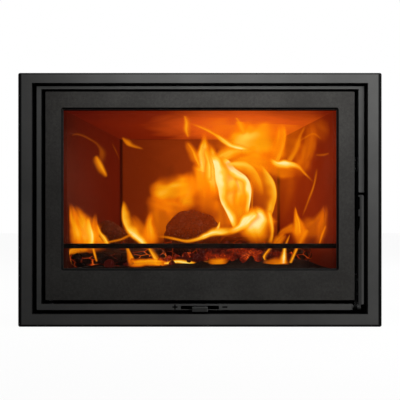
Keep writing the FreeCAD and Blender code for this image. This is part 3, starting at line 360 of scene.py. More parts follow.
def front_paint(name, colour, shadow, grain, roughness, edge, turn, line=None):
    """Sprayed paint of the front: satin on the faces, with painted shade, dark and dull, where they turn away
    from the room and where an optional mask says.
    """
    material, tree, shader = new_finish(name)
    where = place(tree)
    peel = use(tree, paint_grain, Vector=where, Grain=grain)
    worn = use(tree, edge_rub, Vector=where, Radius=edge, Wear=0.35)
    tint = shaded(tree, colour, varied(tree, peel["Shade"], 0.86, 1.12))
    rubbed = partly(tree, worn["Mask"], 0.16, tint, grey(0.3))
    # Painted shade: faces turned away from the front, and the optional line mask, take the shadow colour and
    # full roughness.
    dark = maths(tree, "SUBTRACT", 1.0, facing_front(tree, *turn))
    if line:
        dark = maths(tree, "MAXIMUM", dark, line(tree, where))
    satin = varied(tree, peel["Shade"], roughness - 0.05, roughness + 0.07)
    set_shader(tree, shader, Base_Color=blended(tree, dark, rubbed, shadow),
               Roughness=maths(tree, "MAXIMUM", satin, dark),
               Normal=bumped(tree, peel["Height"], strength=0.12, distance=0.0002))
    return material, tree, shader


def surround_paint(name, line):
    """Satin anthracite of the surround and the fixed frame, with painted shade where faces turn away and
    where the line mask says; on the frame that mask also holds its filled marks.
    """
    anthracite = (0.094, 0.094, 0.092, 1.0)
    material, tree, shader = front_paint(name, anthracite, grey(0.001), grain=1100.0, roughness=0.5,
                                         edge=0.0012, turn=(0.86, 0.99), line=line)
    set_shader(tree, shader, Specular_IOR_Level=0.25)
    return material


def lever_paint():
    """Smooth anthracite of the lever and the finger tab, with a painted highlight on the bevel."""
    anthracite = (0.042, 0.042, 0.041, 1.0)
    material, tree, shader = front_paint("handled_anthracite", anthracite, grey(0.012), grain=1500.0,
                                         roughness=0.4, edge=0.002, turn=(0.3, 0.6))
    # Painted highlight: the bevel's faces give off light as bright as the paint's colour.
    bevel = times(tree, spread(tree, facing(tree, "X"), 0.5, 0.7), facing_front(tree, 0.5, 0.7))
    set_shader(tree, shader, Emission_Color=blended(tree, bevel, grey(0.0), anthracite),
               Specular_IOR_Level=0.45, Emission_Strength=1.0)
    return material


def door_paint():
    """Matt black of the cast door, with the grain of the casting showing through, and painted shade, near
    black, on faces that turn away from the front.
    """
    material, tree, shader = new_finish("matt_cast_black")
    where = place(tree)
    skin = use(tree, paint_grain, Vector=where, Grain=430.0, Blotch=14.0)
    worn = use(tree, edge_rub, Vector=where, Radius=0.0015, Wear=0.25)
    pits = speckle(tree, where, 160.0, detail=5.0, roughness=0.7)
    shade = spread(tree, maths(tree, "ADD", skin["Shade"], pits), 0.75, 1.3, 0.72, 1.25)
    tint = shaded(tree, (0.05, 0.048, 0.045, 1.0), shade)
    rubbed = partly(tree, worn["Mask"], 0.12, tint, grey(0.22))
    height = weighed(tree, pits, 0.7, skin["Height"], 0.3)
    # Painted shade: faces that turn away from the front are near black.
    set_shader(tree, shader, Base_Color=blended(tree, facing_front(tree, 0.8, 0.98), grey(0.0015), rubbed),
               Roughness=varied(tree, pits, 0.66, 0.86),
               Normal=bumped(tree, height, strength=0.3, distance=0.0004), Specular_IOR_Level=0.16)
    return material


def gap_black():
    """Flat black of what shows only through the gaps, near black as painted shade for the gaps."""
    material, tree, shader = new_finish("gap_black")
    dust = use(tree, soot_film, Vector=place(tree), Scale=12.0, Amount=0.3)
    # Painted shade: a near-black base stands in for the shade in the gaps; the pale dust patches are real.
    set_shader(tree, shader, Base_Color=blended(tree, dust["Ash"], grey(0.0015), grey(0.006)),
               Roughness=spread(tree, dust["Soot"], 0.0, 1.0, 0.8, 0.95), Specular_IOR_Level=0.05)
    return material


def black_sheet():
    """Black heat-proof paint on folded sheet."""
    material, tree, shader = new_finish("black_sheet")
    where = place(tree)
    marks = use(tree, sheet_marks, Vector=where)
    film = use(tree, soot_film, Vector=where, Scale=9.0, Amount=0.25)
    worn = use(tree, edge_rub, Vector=where, Wear=0.4)
    tint = shaded(tree, (0.03, 0.029, 0.028, 1.0), varied(tree, marks["Shade"], 0.75, 1.3))
    dusty = partly(tree, film["Ash"], 0.3, tint, (0.12, 0.11, 0.1, 1.0))
    set_shader(tree, shader, Base_Color=partly(tree, worn["Mask"], 0.4, dusty, grey(0.24)),
               Roughness=varied(tree, marks["Shade"], 0.45, 0.65),
               Normal=bumped(tree, marks["Height"], strength=0.15, distance=0.0002), Specular_IOR_Level=0.3)
    return material


def galvanised_sheet():
    """Zinc-coated casing steel with its spangle."""
    material, tree, shader = new_finish("galvanised_sheet")
    where = place(tree)
    marks = use(tree, sheet_marks, Vector=where, Lines=160.0)
    worn = use(tree, edge_rub, Vector=where, Wear=0.2)
    spangle = add(tree, "ShaderNodeTexVoronoi", {"Vector": where, "Scale": 190.0, "Randomness": 1.0})
    flake = part_of(tree, spangle.outputs["Color"], "X")
    streaks = weighed(tree, speckle(tree, where, 6.0), 0.4, marks["Shade"], 0.4)
    shade = maths(tree, "MULTIPLY_ADD", flake, 0.2, streaks)
    tint = blended(tree, varied(tree, shade), (0.33, 0.34, 0.35, 1.0), (0.5, 0.51, 0.52, 1.0))
    set_shader(tree, shader, Base_Color=partly(tree, worn["Mask"], 0.5, tint, grey(0.7)),
               Roughness=spread(tree, shade, 0.2, 0.8, 0.48, 0.66),
               Normal=bumped(tree, shade, strength=0.1, distance=0.0002), Metallic=0.75)
    return material


def bare_metal(name, dull, bright, roughness):
    """Turned or rolled metal with fine lines and darker handling marks."""
    material, tree, shader = new_finish(name)
    where = place(tree)
    marks = use(tree, sheet_marks, Vector=where, Lines=600.0)
    worn = use(tree, edge_rub, Vector=where, Radius=0.0006, Wear=0.5)
    tint = blended(tree, varied(tree, marks["Shade"]), dull, bright)
    set_shader(tree, shader, Base_Color=partly(tree, worn["Mask"], 0.5, tint, grey(0.75)),
               Roughness=varied(tree, marks["Shade"], roughness - 0.08, roughness + 0.12),
               Normal=bumped(tree, marks["Height"], strength=0.12, distance=0.0001), Metallic=1.0)
    return material


def fire_iron(name, colour, ash):
    """Cast iron that stands in the fire: rough, sooty, with grey ash in its hollows."""
    material, tree, shader = new_finish(name)
    where = place(tree)
    skin = use(tree, paint_grain, Vector=where, Grain=260.0, Blotch=25.0)
    film = use(tree, soot_film, Vector=where, Scale=18.0, Amount=0.35)
    tint = shaded(tree, colour, varied(tree, skin["Shade"], 0.6, 1.4))
    set_shader(tree, shader, Base_Color=partly(tree, film["Ash"], ash, tint, (0.22, 0.2, 0.18, 1.0)),
               Roughness=varied(tree, skin["Shade"], 0.6, 0.85),
               Normal=bumped(tree, skin["Height"], strength=0.4, distance=0.0006), Specular_IOR_Level=0.3)
    return material


def pane_glass():
    """Clear ceramic glass, faintly warm, that lets lamp light through to the firebox."""
    material, tree, shader = new_finish("ceramic_glass")
    film = use(tree, soot_film, Vector=place(tree), Scale=5.0, Amount=0.0)
    clean = (0.985, 0.965, 0.94, 1.0)
    stained = (0.9, 0.86, 0.8, 1.0)
    set_shader(tree, shader, Base_Color=blended(tree, film["Soot"], clean, stained),
               Roughness=spread(tree, film["Soot"], 0.0, 1.0, 0.0, 0.02), Transmission_Weight=1.0, IOR=1.3)
    clear = add(tree, "ShaderNodeBsdfTransparent", {"Color": (0.4, 0.36, 0.33, 1.0)})
    rays = add(tree, "ShaderNodeLightPath").outputs
    mix_shaders(tree, rays["Is Shadow Ray"], shader, clear)
    return material


def woven_seal():
    """Glass-fibre yarn of the door's seals, grey with soot."""
    material, tree, shader = new_finish("seal_yarn")
    where = place(tree)
    film = use(tree, soot_film, Vector=where, Scale=30.0, Amount=0.2)
    weave = add(tree, "ShaderNodeTexWave", {"Vector": where, "Scale": 300.0, "Distortion": 1.5,
                                            "Detail": 2.0}, bands_direction="DIAGONAL")
    yarn = weighed(tree, weave.outputs["Fac"], 0.7, speckle(tree, where, 1600.0, detail=2.0), 0.3)
    tint = blended(tree, yarn, (0.1, 0.095, 0.085, 1.0), (0.34, 0.33, 0.3, 1.0))
    set_shader(tree, shader, Base_Color=blended(tree, film["Soot"], tint, (0.05, 0.045, 0.04, 1.0)),
               Roughness=spread(tree, yarn, 0.0, 1.0, 0.95, 0.8),
               Normal=bumped(tree, yarn, strength=0.5, distance=0.0005))
    return material


# Finishes of the fire and of what it lights, with heights over the hearth
# Heights over the hearth: painted shade at the liners' foot ends between FOOT_DARK and FOOT_BRIGHT; the logs'
# embers end at EMBERS_END; painted firelight on the logs comes in between LOGS_DARK and LOGS_BRIGHT
FOOT_DARK = 0.01
FOOT_BRIGHT = 0.09
EMBERS_END = 0.075
LOGS_DARK = 0.03
LOGS_BRIGHT = 0.09


def liner_slab(name, stops, shaded_corner, above=1.0):
    """Pressed mineral slab, sooty, with painted firelight as emission, dimmed by painted shade in its back
    corners, at its foot and on faces that look up.
    """
    material, tree, shader = new_finish(name)
    where = place(tree)
    flakes = use(tree, paint_grain, Vector=where, Grain=190.0, Blotch=11.0)
    film = use(tree, soot_film, Vector=where, Scale=6.0, Amount=0.3)
    tint = shaded(tree, (0.05, 0.018, 0.01, 1.0), varied(tree, flakes["Shade"], 0.7, 1.25))
    axis, start, end = shaded_corner
    # Painted shade dims the painted firelight: in the slab's back corners, at its foot near the hearth, and
    # on faces that look up, which keep only the share above; soot dims it too.
    dimmed = spread(tree, film["Soot"], 0.0, 1.0, 1.0, 0.7)
    corner_shade = spread(tree, maths(tree, "ABSOLUTE", part_of(tree, where, axis)), start, end, 1.0, 0.25)
    foot = over_hearth(tree, where, FOOT_DARK, FOOT_BRIGHT, 0.3, 1.0)
    top = spread(tree, facing(tree, "Z"), 0.3, 0.6, 1.0, above)
    for dimming in (corner_shade, foot, top):
        dimmed = times(tree, dimmed, dimming)
    # Painted firelight: emission coloured by the distance to the fire's heart.
    painted_firelight = ramp(tree, use(tree, fire_light, Vector=where)["Level"], stops)
    set_shader(tree, shader, Base_Color=partly(tree, film["Soot"], 0.75, tint, (0.016, 0.01, 0.008, 1.0)),
               Roughness=varied(tree, flakes["Shade"], 0.82, 0.96),
               Normal=bumped(tree, flakes["Height"], strength=0.35, distance=0.0006),
               Emission_Color=shaded(tree, painted_firelight, dimmed), Specular_IOR_Level=0.15, Emission_Strength=1.0)
    return material


def charred_wood():
    """Split wood burnt to black, with a grain along each log, embers glowing in its cracks, and painted
    firelight that fades out towards the hearth.
    """
    material, tree, shader = new_finish("charred_wood")
    where = place(tree)
    grain = add(tree, "ShaderNodeAttribute", attribute_name="grain").outputs["Vector"]
    fibre = speckle(tree, stretched(tree, grain, scale=(1.0, 1.0, 0.06)), 260.0, detail=4.0, distortion=0.5)
    blocks = stretched(tree, grain, scale=(1.0, 1.0, 0.45))
    cracks = add(tree, "ShaderNodeTexVoronoi", {"Vector": blocks, "Scale": 75.0}, feature="DISTANCE_TO_EDGE")
    gap = spread(tree, cracks.outputs["Distance"], 0.07, 0.0)
    film = use(tree, soot_film, Vector=where, Scale=16.0, Amount=0.45)
    wood = blended(tree, fibre, (0.02, 0.007, 0.003, 1.0), (0.085, 0.03, 0.011, 1.0))
    burnt = blended(tree, film["Soot"], wood, (0.008, 0.006, 0.006, 1.0))
    ashen = partly(tree, film["Ash"], 0.3, burnt, (0.15, 0.1, 0.08, 1.0))
    height = maths(tree, "SUBTRACT", fibre, times(tree, gap, 1.6))
    patches = spread(tree, speckle(tree, where, 22.0, detail=2.0), 0.42, 0.66)
    ember = times(tree, times(tree, gap, patches), over_hearth(tree, where, EMBERS_END, 0.0))
    hot = ramp(tree, ember, [(0.0, grey(0.0)), (0.4, (0.4, 0.03, 0.001, 1.0)), (1.0, (1.0, 0.3, 0.02, 1.0))])
    # Painted firelight: the logs give off orange light by their distance to the fire's heart, none near the
    # hearth.
    level = use(tree, fire_light, Vector=where)["Level"]
    lit = times(tree, times(tree, level, fibre), over_hearth(tree, where, LOGS_DARK, LOGS_BRIGHT))
    warm = blended(tree, lit, grey(0.0), (0.5, 0.045, 0.001, 1.0))
    set_shader(tree, shader, Base_Color=blended(tree, gap, ashen, grey(0.004)),
               Roughness=spread(tree, fibre, 0.2, 0.8, 0.7, 0.92),
               Normal=bumped(tree, height, strength=0.7, distance=0.0025),
               Emission_Color=blended(tree, 1.0, hot, warm, "ADD"),
               Specular_IOR_Level=0.2, Emission_Strength=1.0)
    return material


def glowing_coal():
    """Charcoal lumps under a skin of ash, red to orange where the air reaches them."""
    material, tree, shader = new_finish("glowing_coal")
    where = place(tree)
    film = use(tree, soot_film, Vector=where, Scale=40.0, Amount=0.35)
    crust = speckle(tree, where, 240.0, detail=4.0, roughness=0.65)
    coal = blended(tree, crust, (0.004, 0.002, 0.002, 1.0), (0.035, 0.012, 0.01, 1.0))
    draught = spread(tree, speckle(tree, where, 15.0, distortion=0.6), 0.46, 0.72)
    veins = spread(tree, crust, 0.42, 0.7)
    heat = times(tree, draught, maths(tree, "MULTIPLY_ADD", veins, 0.8, 0.2))
    hot = ramp(tree, heat, [(0.0, (0.032, 0.002, 0.001, 1.0)), (0.35, (0.32, 0.02, 0.002, 1.0)),
                            (0.7, (0.9, 0.16, 0.008, 1.0)), (1.0, (1.0, 0.5, 0.08, 1.0))])
    set_shader(tree, shader, Base_Color=partly(tree, film["Ash"], 0.3, coal, (0.06, 0.022, 0.016, 1.0)),
               Roughness=spread(tree, crust, 0.2, 0.8, 0.75, 0.95),
               Normal=bumped(tree, crust, strength=0.7, distance=0.0025),
               Emission_Color=hot, Specular_IOR_Level=0.15, Emission_Strength=1.0)
    return material


def bed_ash():
    """Loose ash and cinders on the hearth."""
    material, tree, shader = new_finish("bed_ash")
    where = place(tree)
    film = use(tree, soot_film, Vector=where, Scale=22.0, Amount=0.4)
    grit = speckle(tree, where, 420.0, detail=4.0)
    tint = blended(tree, grit, (0.01, 0.007, 0.006, 1.0), (0.05, 0.036, 0.03, 1.0))
    set_shader(tree, shader, Base_Color=blended(tree, film["Soot"], tint, (0.005, 0.003, 0.003, 1.0)),
               Roughness=spread(tree, grit, 0.2, 0.8, 0.88, 0.98),
               Normal=bumped(tree, grit, strength=0.8, distance=0.0015), Specular_IOR_Level=0.1)
    return material


FLAME_CONTRAST = 0.16


def flame_sheet(name, softness, edge_stops):
    """Burning gas: pale yellow in its core, orange about it and clear at its edges."""
    material, tree, shader = new_finish(name)
    flow = add(tree, "ShaderNodeUVMap", uv_map="flow").outputs["UV"]
    heat = add(tree, "ShaderNodeAttribute", attribute_name="burn").outputs["Fac"]
    side = maths(tree, "ABSOLUTE", maths(tree, "MULTIPLY_ADD", part_of(tree, flow, "X"), 2.0, -1.0))
    drift = maths(tree, "SUBTRACT", speckle(tree, place(tree), 30.0, detail=1.0), 0.5)
    inward = maths(tree, "SUBTRACT", maths(tree, "MULTIPLY_ADD", drift, 0.7, 1.0), side)
    body = spread(tree, inward, 0.02, softness)
    silk = speckle(tree, stretched(tree, flow, scale=(1.5, 0.5, 1.0)), 2.0, detail=1.0, distortion=0.4)
    streak = varied(tree, silk, 1.0 - FLAME_CONTRAST, 1.0 + FLAME_CONTRAST / 2)
    strength = times(tree, times(tree, heat, body), streak)
    core_stops = [(0.85, (1.0, 0.6, 0.055, 1.0)), (1.0, (1.0, 0.84, 0.34, 1.0))]
    set_shader(tree, shader, Emission_Color=ramp(tree, strength, edge_stops + core_stops),
               Alpha=spread(tree, strength, 0.0, 0.8, 0.0, 0.95), Base_Color=grey(0.0), Roughness=1.0,
               Specular_IOR_Level=0.0, Emission_Strength=1.1)
    return material


# Pieces of the scene
def put_in_scene(name, data):
    """New object of a mesh, a lamp or a camera, in the scene."""
    thing = bpy.data.objects.new(name, data)
    bpy.context.scene.collection.objects.link(thing)
    return thing


def made_of(name, bm, finish):
    """Object of a finished bmesh, with its finish."""
    mesh = bpy.data.meshes.new(name)
    bm.to_mesh(mesh)
    bm.free()
    mesh.materials.append(finish)
    return put_in_scene(name, mesh)


def new_piece(name, bm, finish, body="insert", smooth=True):
    """Smooth or faceted piece of the object, riding on a body."""
    for face in bm.faces:
        face.smooth = smooth
    piece = made_of(name, bm, finish)
    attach(piece, body)
    return piece


# Pop rivets of the casing
RIVET_R = 0.0045
RIVET_RISE = 0.0016
RIVET_SIDES = 12
RIVET_RINGS = 6
RIVET_INSET = 0.012
RIVETS_UP = 5
RIVETS_DEEP = 4
RIVETS_ACROSS = 7


def evenly(low, high, count):
    """Middles of a number of equal steps between two values."""
    return [low + (high - low) * (i + 0.5) / count for i in range(count)]


def add_rivet(bm, spot, outward):
    """Flat domed rivet head that stands on a sheet."""
    shape = Matrix.Diagonal((RIVET_R, RIVET_R, RIVET_RISE, 1.0))
    turn = outward.to_track_quat("Z", "Y").to_matrix().to_4x4()
    bmesh.ops.create_uvsphere(bm, u_segments=RIVET_SIDES, v_segments=RIVET_RINGS, radius=1.0,
                              matrix=Matrix.Translation(spot) @ turn @ shape)


def make_rivets(finish):
    """Rivets that hold the casing's back and base in its wrap."""
    low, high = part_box("casing_wrap")
    rear = high.y - RIVET_INSET
    foot = low.z + RIVET_INSET
    bm = bmesh.new()
    for side in (-1.0, 1.0):
        out = Vector((side, 0.0, 0.0))
        for z in evenly(low.z, high.z, RIVETS_UP):
            add_rivet(bm, Vector((side * high.x, rear, z)), out)
        for y in evenly(low.y, high.y, RIVETS_DEEP):
            add_rivet(bm, Vector((side * high.x, y, foot)), out)
    for x in evenly(low.x, high.x, RIVETS_ACROSS):
        add_rivet(bm, Vector((x, rear, high.z)), Vector((0.0, 0.0, 1.0)))
    rivets = new_piece("casing_rivets", bm, finish)


# Seals of the door
ROPE_STRANDS = 3
ROPE_PITCH = 0.022
ROPE_CORNER = 0.012
STRAND_SHARE = 0.56
POINTS_PER_TURN = 10
TAPE_WIDTH = 0.005
TAPE_ROUNDING = 0.3


def rope_line(along, half_x, half_z, middle):
    """Place and outward direction at a length along a rectangle with rounded corners."""
    runs = [2 * (half_z - ROPE_CORNER), 2 * (half_x - ROPE_CORNER)] * 2
    arc = ROPE_CORNER * math.pi / 2
    for side, run in enumerate(runs):
        turn = math.radians(90.0 * side)
        out = Vector((math.cos(turn), 0.0, math.sin(turn)))
        on = Vector((-math.sin(turn), 0.0, math.cos(turn)))
        reach = half_x if side % 2 == 0 else half_z
        if along <= run:
            return middle + out * reach + on * (along - run / 2), out
        along -= run
        if along <= arc:
            bend = along / ROPE_CORNER
            bent = out * math.cos(bend) + on * math.sin(bend)
            return middle + out * (reach - ROPE_CORNER) + on * run / 2 + bent * ROPE_CORNER, bent
        along -= arc
    return middle + Vector((half_x, 0.0, -half_z + ROPE_CORNER)), Vector((1.0, 0.0, 0.0))


def make_rope(finish):
    """Rope seal on the back of the door: three yarns twisted round one line."""
    radius = (rope_high.y - rope_low.y) / 2
    strand = radius * STRAND_SHARE
    half_x = (rope_high.x - rope_low.x) / 2 - radius
    half_z = (rope_high.z - rope_low.z) / 2 - radius
    middle = (rope_low + rope_high) / 2
    length = 4 * (half_x + half_z - 2 * ROPE_CORNER) + 2 * math.pi * ROPE_CORNER
    turns = round(length / ROPE_PITCH)
    count = turns * POINTS_PER_TURN
    curve = bpy.data.curves.new("rope_yarns", "CURVE")
    curve.dimensions = "3D"
    curve.bevel_depth = strand
    curve.bevel_resolution = 1
    for yarn in range(ROPE_STRANDS):
        spline = curve.splines.new("POLY")
        spline.points.add(count - 1)
        spline.use_cyclic_u = True
        for i, point in enumerate(spline.points):
            centre, out = rope_line(length * i / count, half_x, half_z, middle)
            twist = 2 * math.pi * (turns * i / count + yarn / ROPE_STRANDS)
            offset = out * math.cos(twist) + Vector((0.0, math.sin(twist), 0.0))
            point.co = (*(centre + offset * (radius - strand)), 1.0)
    drawn = bpy.data.objects.new("rope_yarns", curve)
    mesh = bpy.data.meshes.new_from_object(drawn)
    bpy.data.objects.remove(drawn)
    bm = bmesh.new()
    bm.from_mesh(mesh)
    rope = new_piece("door_rope", bm, finish, "door")
    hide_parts("door_seal")


def make_tape(finish):
    """Flat woven tape between the glass and the door."""
    size = tape_high - tape_low
    bm = bmesh.new()
    lie_flat = Matrix.Translation((tape_low + tape_high) / 2) @ Matrix.Rotation(math.radians(90.0), 4, "X")
    stretch = Matrix.Diagonal((size.x, size.z, 1.0, 1.0))
    bmesh.ops.create_grid(bm, x_segments=1, y_segments=1, size=0.5, matrix=lie_flat @ stretch)
    bmesh.ops.inset_region(bm, faces=bm.faces[:], thickness=TAPE_WIDTH, use_boundary=True,
                           use_even_offset=True)
    middle = [f for f in bm.faces if all(not e.is_boundary for e in f.edges)]
    bmesh.ops.delete(bm, geom=middle, context="FACES")
    bmesh.ops.translate(bm, verts=bm.verts[:], vec=(0.0, size.y / 2, 0.0))
    made = bmesh.ops.extrude_face_region(bm, geom=bm.faces[:])
    moved = [v for v in made["geom"] if isinstance(v, bmesh.types.BMVert)]
    bmesh.ops.translate(bm, verts=moved, vec=(0.0, -size.y, 0.0))
    bmesh.ops.recalc_face_normals(bm, faces=bm.faces[:])
    bmesh.ops.bevel(bm, geom=bm.edges[:], offset=size.y * TAPE_ROUNDING, affect="EDGES", segments=2,
                    profile=0.5, material=-1)
    tape = new_piece("glass_tape", bm, finish, "door", smooth=False)
    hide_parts("glass_seal")


# Room for the fire between the liners
LINER_FACE_FRONT = 0.289
LINER_FACE_BACK = 0.194
BAFFLE_THICK = 0.015
WALL_CLEAR = 0.003
HEARTH_CLEAR = 0.002


def half_width(y):
    """Half the width between the side liners at a depth."""
    share = (y - FIRE_FRONT_Y) / (FIRE_BACK_Y - FIRE_FRONT_Y)
    return LINER_FACE_FRONT + (LINER_FACE_BACK - LINER_FACE_FRONT) * share


def ceiling(y):
    """Height of the baffle's underside at a depth."""
    share = (y - baffle_low.y) / (baffle_high.y - baffle_low.y)
    front = baffle_high.z - BAFFLE_THICK
    return front + (baffle_low.z - front) * share


def held_inside(point):
    """A point kept clear of the liners, the baffle and the hearth."""
    y = min(max(point.y, FIRE_FRONT_Y + WALL_CLEAR), FIRE_BACK_Y - WALL_CLEAR)
    side = half_width(y) - WALL_CLEAR
    x = min(max(point.x, -side), side)
    z = min(max(point.z, HEARTH_Z + HEARTH_CLEAR), ceiling(y) - WALL_CLEAR)
    return Vector((x, y, z))


# Bed of the fire, with its mound placed from the middle and from the front of the liners
BED_LOW = 0.004
MOUND_RISE = 0.034
MOUND_X = 0.10
MOUND_BACK = 0.085
MOUND_HALF_WIDTH = 0.15
MOUND_HALF_DEPTH = 0.09


def bed_height(x, y):
    """Height of the ash and coals above the hearth: a mound right of the middle."""
    across = (x - MOUND_X) / MOUND_HALF_WIDTH
    along = (y - FIRE_FRONT_Y - MOUND_BACK) / MOUND_HALF_DEPTH
    return BED_LOW + MOUND_RISE * math.exp(-across * across - along * along)


# Logs: ends as x, depth behind the surround's face and height, then the radius
LOGS = {
    "log_front_left": ((-0.272, 0.084, 0.1425), (-0.090, 0.130, 0.1425), 0.0215),
    "log_middle": ((-0.018, 0.160, 0.1840), (-0.015, 0.345, 0.1800), 0.0655),
    "log_right": ((0.105, 0.165, 0.146), (0.235, 0.130, 0.146), 0.024),
    "log_back": ((0.062, 0.270, 0.152), (0.185, 0.245, 0.152), 0.030),
    "log_left": ((-0.206, 0.088, 0.195), (-0.165, 0.300, 0.151), 0.029),
}
LOG_SIDES = 48
LOG_RINGS = 36
LOG_TAPER = 0.9
LOG_END_INSET = 0.3
LOG_END_STEPS = (0.010, 0.005)
LOG_NOISE_SHIFT = (3.7, 1.9, 5.3)
SWELL, SWELL_ROUND, SWELL_ALONG = 0.08, 22, 9
RIDGE, RIDGE_ROUND, RIDGE_ALONG = 0.06, 95, 14
CHIP, CHIP_SCALE = 0.03, 60
RIDGE_SLIP = 0.004


def bark(spot, shift, round_scale, along_scale):
    """Noise of a log's bark, with one scale round the log and one along it."""
    return noise.noise(Vector((spot.x * round_scale, spot.y * round_scale, spot.z * along_scale)) + shift)


def log_ends(bm):
    """The two round end faces of a log."""
    return [face for face in bm.faces if len(face.verts) == LOG_SIDES]


def make_log(name, start, end, radius, finish, seed):
    """Log with ridged bark and burnt-round ends, keeping its own grain direction."""
    first = Vector((start[0], FRONT_Y + start[1], start[2]))
    last = Vector((end[0], FRONT_Y + end[1], end[2]))
    length = (last - first).length
    bm = bmesh.new()
    grain = bm.verts.layers.float_vector.new("grain")
    bmesh.ops.create_cone(bm, cap_ends=True, segments=LOG_SIDES, radius1=radius, radius2=radius * LOG_TAPER,
                          depth=length)
    lengthwise = [e for e in bm.edges if abs(e.verts[0].co.z - e.verts[1].co.z) > length / 2]
    bmesh.ops.subdivide_edges(bm, edges=lengthwise, cuts=LOG_RINGS, use_grid_fill=True)
    for depth in LOG_END_STEPS:
        bmesh.ops.inset_individual(bm, faces=log_ends(bm), thickness=radius * LOG_END_INSET, depth=depth)
    bmesh.ops.poke(bm, faces=log_ends(bm))
    shift = Vector([seed * step for step in LOG_NOISE_SHIFT])
    for vert in bm.verts:
        vert[grain] = vert.co + shift
        swell = bark(vert.co, shift, SWELL_ROUND, SWELL_ALONG)
        ridge = bark(vert.co, shift, RIDGE_ROUND, RIDGE_ALONG)
        chip = bark(vert.co, shift, CHIP_SCALE, CHIP_SCALE)
        grow = 1.0 + SWELL * swell + RIDGE * ridge + CHIP * chip
        vert.co.x *= grow
        vert.co.y *= grow
        vert.co.z += RIDGE_SLIP * ridge
    turn = (last - first).to_track_quat("Z", "Y").to_matrix().to_4x4()
    bmesh.ops.transform(bm, matrix=Matrix.Translation((first + last) / 2) @ turn, verts=bm.verts[:])
    new_piece(name, bm, finish)


# Coals: a pair is the least and the most of what is drawn at random
COAL_COUNT = 320
COAL_SEED = 11
COAL_SIZES = (0.006, 0.015)
COAL_WIDTHS = (0.6, 1.0)
COAL_HEIGHTS = (0.55, 0.9)
COAL_HEAP = (0.6, 1.25)
COAL_LIFT = 0.35
COAL_FRONT = 0.014
COAL_DEPTH = 0.25
COAL_CROWDING = 1.6
COAL_PEAK = 0.35
COAL_SIDE_CLEAR = 0.03
COAL_DENT = 0.0035
COAL_DENT_SCALE = 90
COAL_FLOOR_CLEAR = 0.001


def make_coals(finish):
    """Charcoal lumps heaped on the hearth, most of them under the fire."""
    draw = random.Random(COAL_SEED)
    bm = bmesh.new()
    for _ in range(COAL_COUNT):
        y = FIRE_FRONT_Y + COAL_FRONT + COAL_DEPTH * draw.random() ** COAL_CROWDING
        x = draw.triangular(-1.0, 1.0, COAL_PEAK) * (half_width(y) - COAL_SIDE_CLEAR)
        size = draw.uniform(*COAL_SIZES)
        z = HEARTH_Z + bed_height(x, y) * draw.uniform(*COAL_HEAP) + size * COAL_LIFT
        spin = Euler([draw.uniform(0.0, math.pi) for _ in range(3)]).to_matrix().to_4x4()
        width = size * draw.uniform(*COAL_WIDTHS)
        shape = Matrix.Diagonal((size, width, size * draw.uniform(*COAL_HEIGHTS), 1.0))
        put = Matrix.Translation((x, y, z)) @ spin @ shape
        bmesh.ops.create_icosphere(bm, subdivisions=2, radius=1.0, matrix=put)
    for vert in bm.verts:
        vert.co += vert.normal * COAL_DENT * noise.noise(vert.co * COAL_DENT_SCALE)
        vert.co.z = max(vert.co.z, HEARTH_Z + COAL_FLOOR_CLEAR)
    new_piece("fire_coals", bm, finish, smooth=False)


# Ash
ASH_STEPS = 40
ASH_OVER_FRONT = 0.008
ASH_CLEAR = 0.002
ASH_RIM_SLOPE = 8.0
ASH_UNEVEN = 0.004
ASH_UNEVEN_SCALE = 45
ASH_NOISE_SLICE = 1.7
ASH_LIFT = 0.0008
ASH_LEAST = 0.001


def make_ash(finish):
    """Low uneven bed of ash over the hearth."""
    bm = bmesh.new()
    bmesh.ops.create_grid(bm, x_segments=ASH_STEPS, y_segments=ASH_STEPS, size=1.0)
    front, back = FIRE_FRONT_Y - ASH_OVER_FRONT, FIRE_BACK_Y - ASH_CLEAR
    for vert in bm.verts:
        y = front + (back - front) * (vert.co.y + 1.0) / 2
        x = vert.co.x * (half_width(max(y, FIRE_FRONT_Y)) - ASH_CLEAR)
        inward = min(1.0 - abs(vert.co.x), 1.0 - abs(vert.co.y))
        rim = min(1.0, inward * ASH_RIM_SLOPE)
        uneven = noise.noise(Vector((x * ASH_UNEVEN_SCALE, y * ASH_UNEVEN_SCALE, ASH_NOISE_SLICE)))
        lift = bed_height(x, y) + ASH_UNEVEN * uneven
        vert.co = (x, y, HEARTH_Z + ASH_LIFT + max(lift, ASH_LEAST) * rim)
    new_piece("fire_ash", bm, finish)


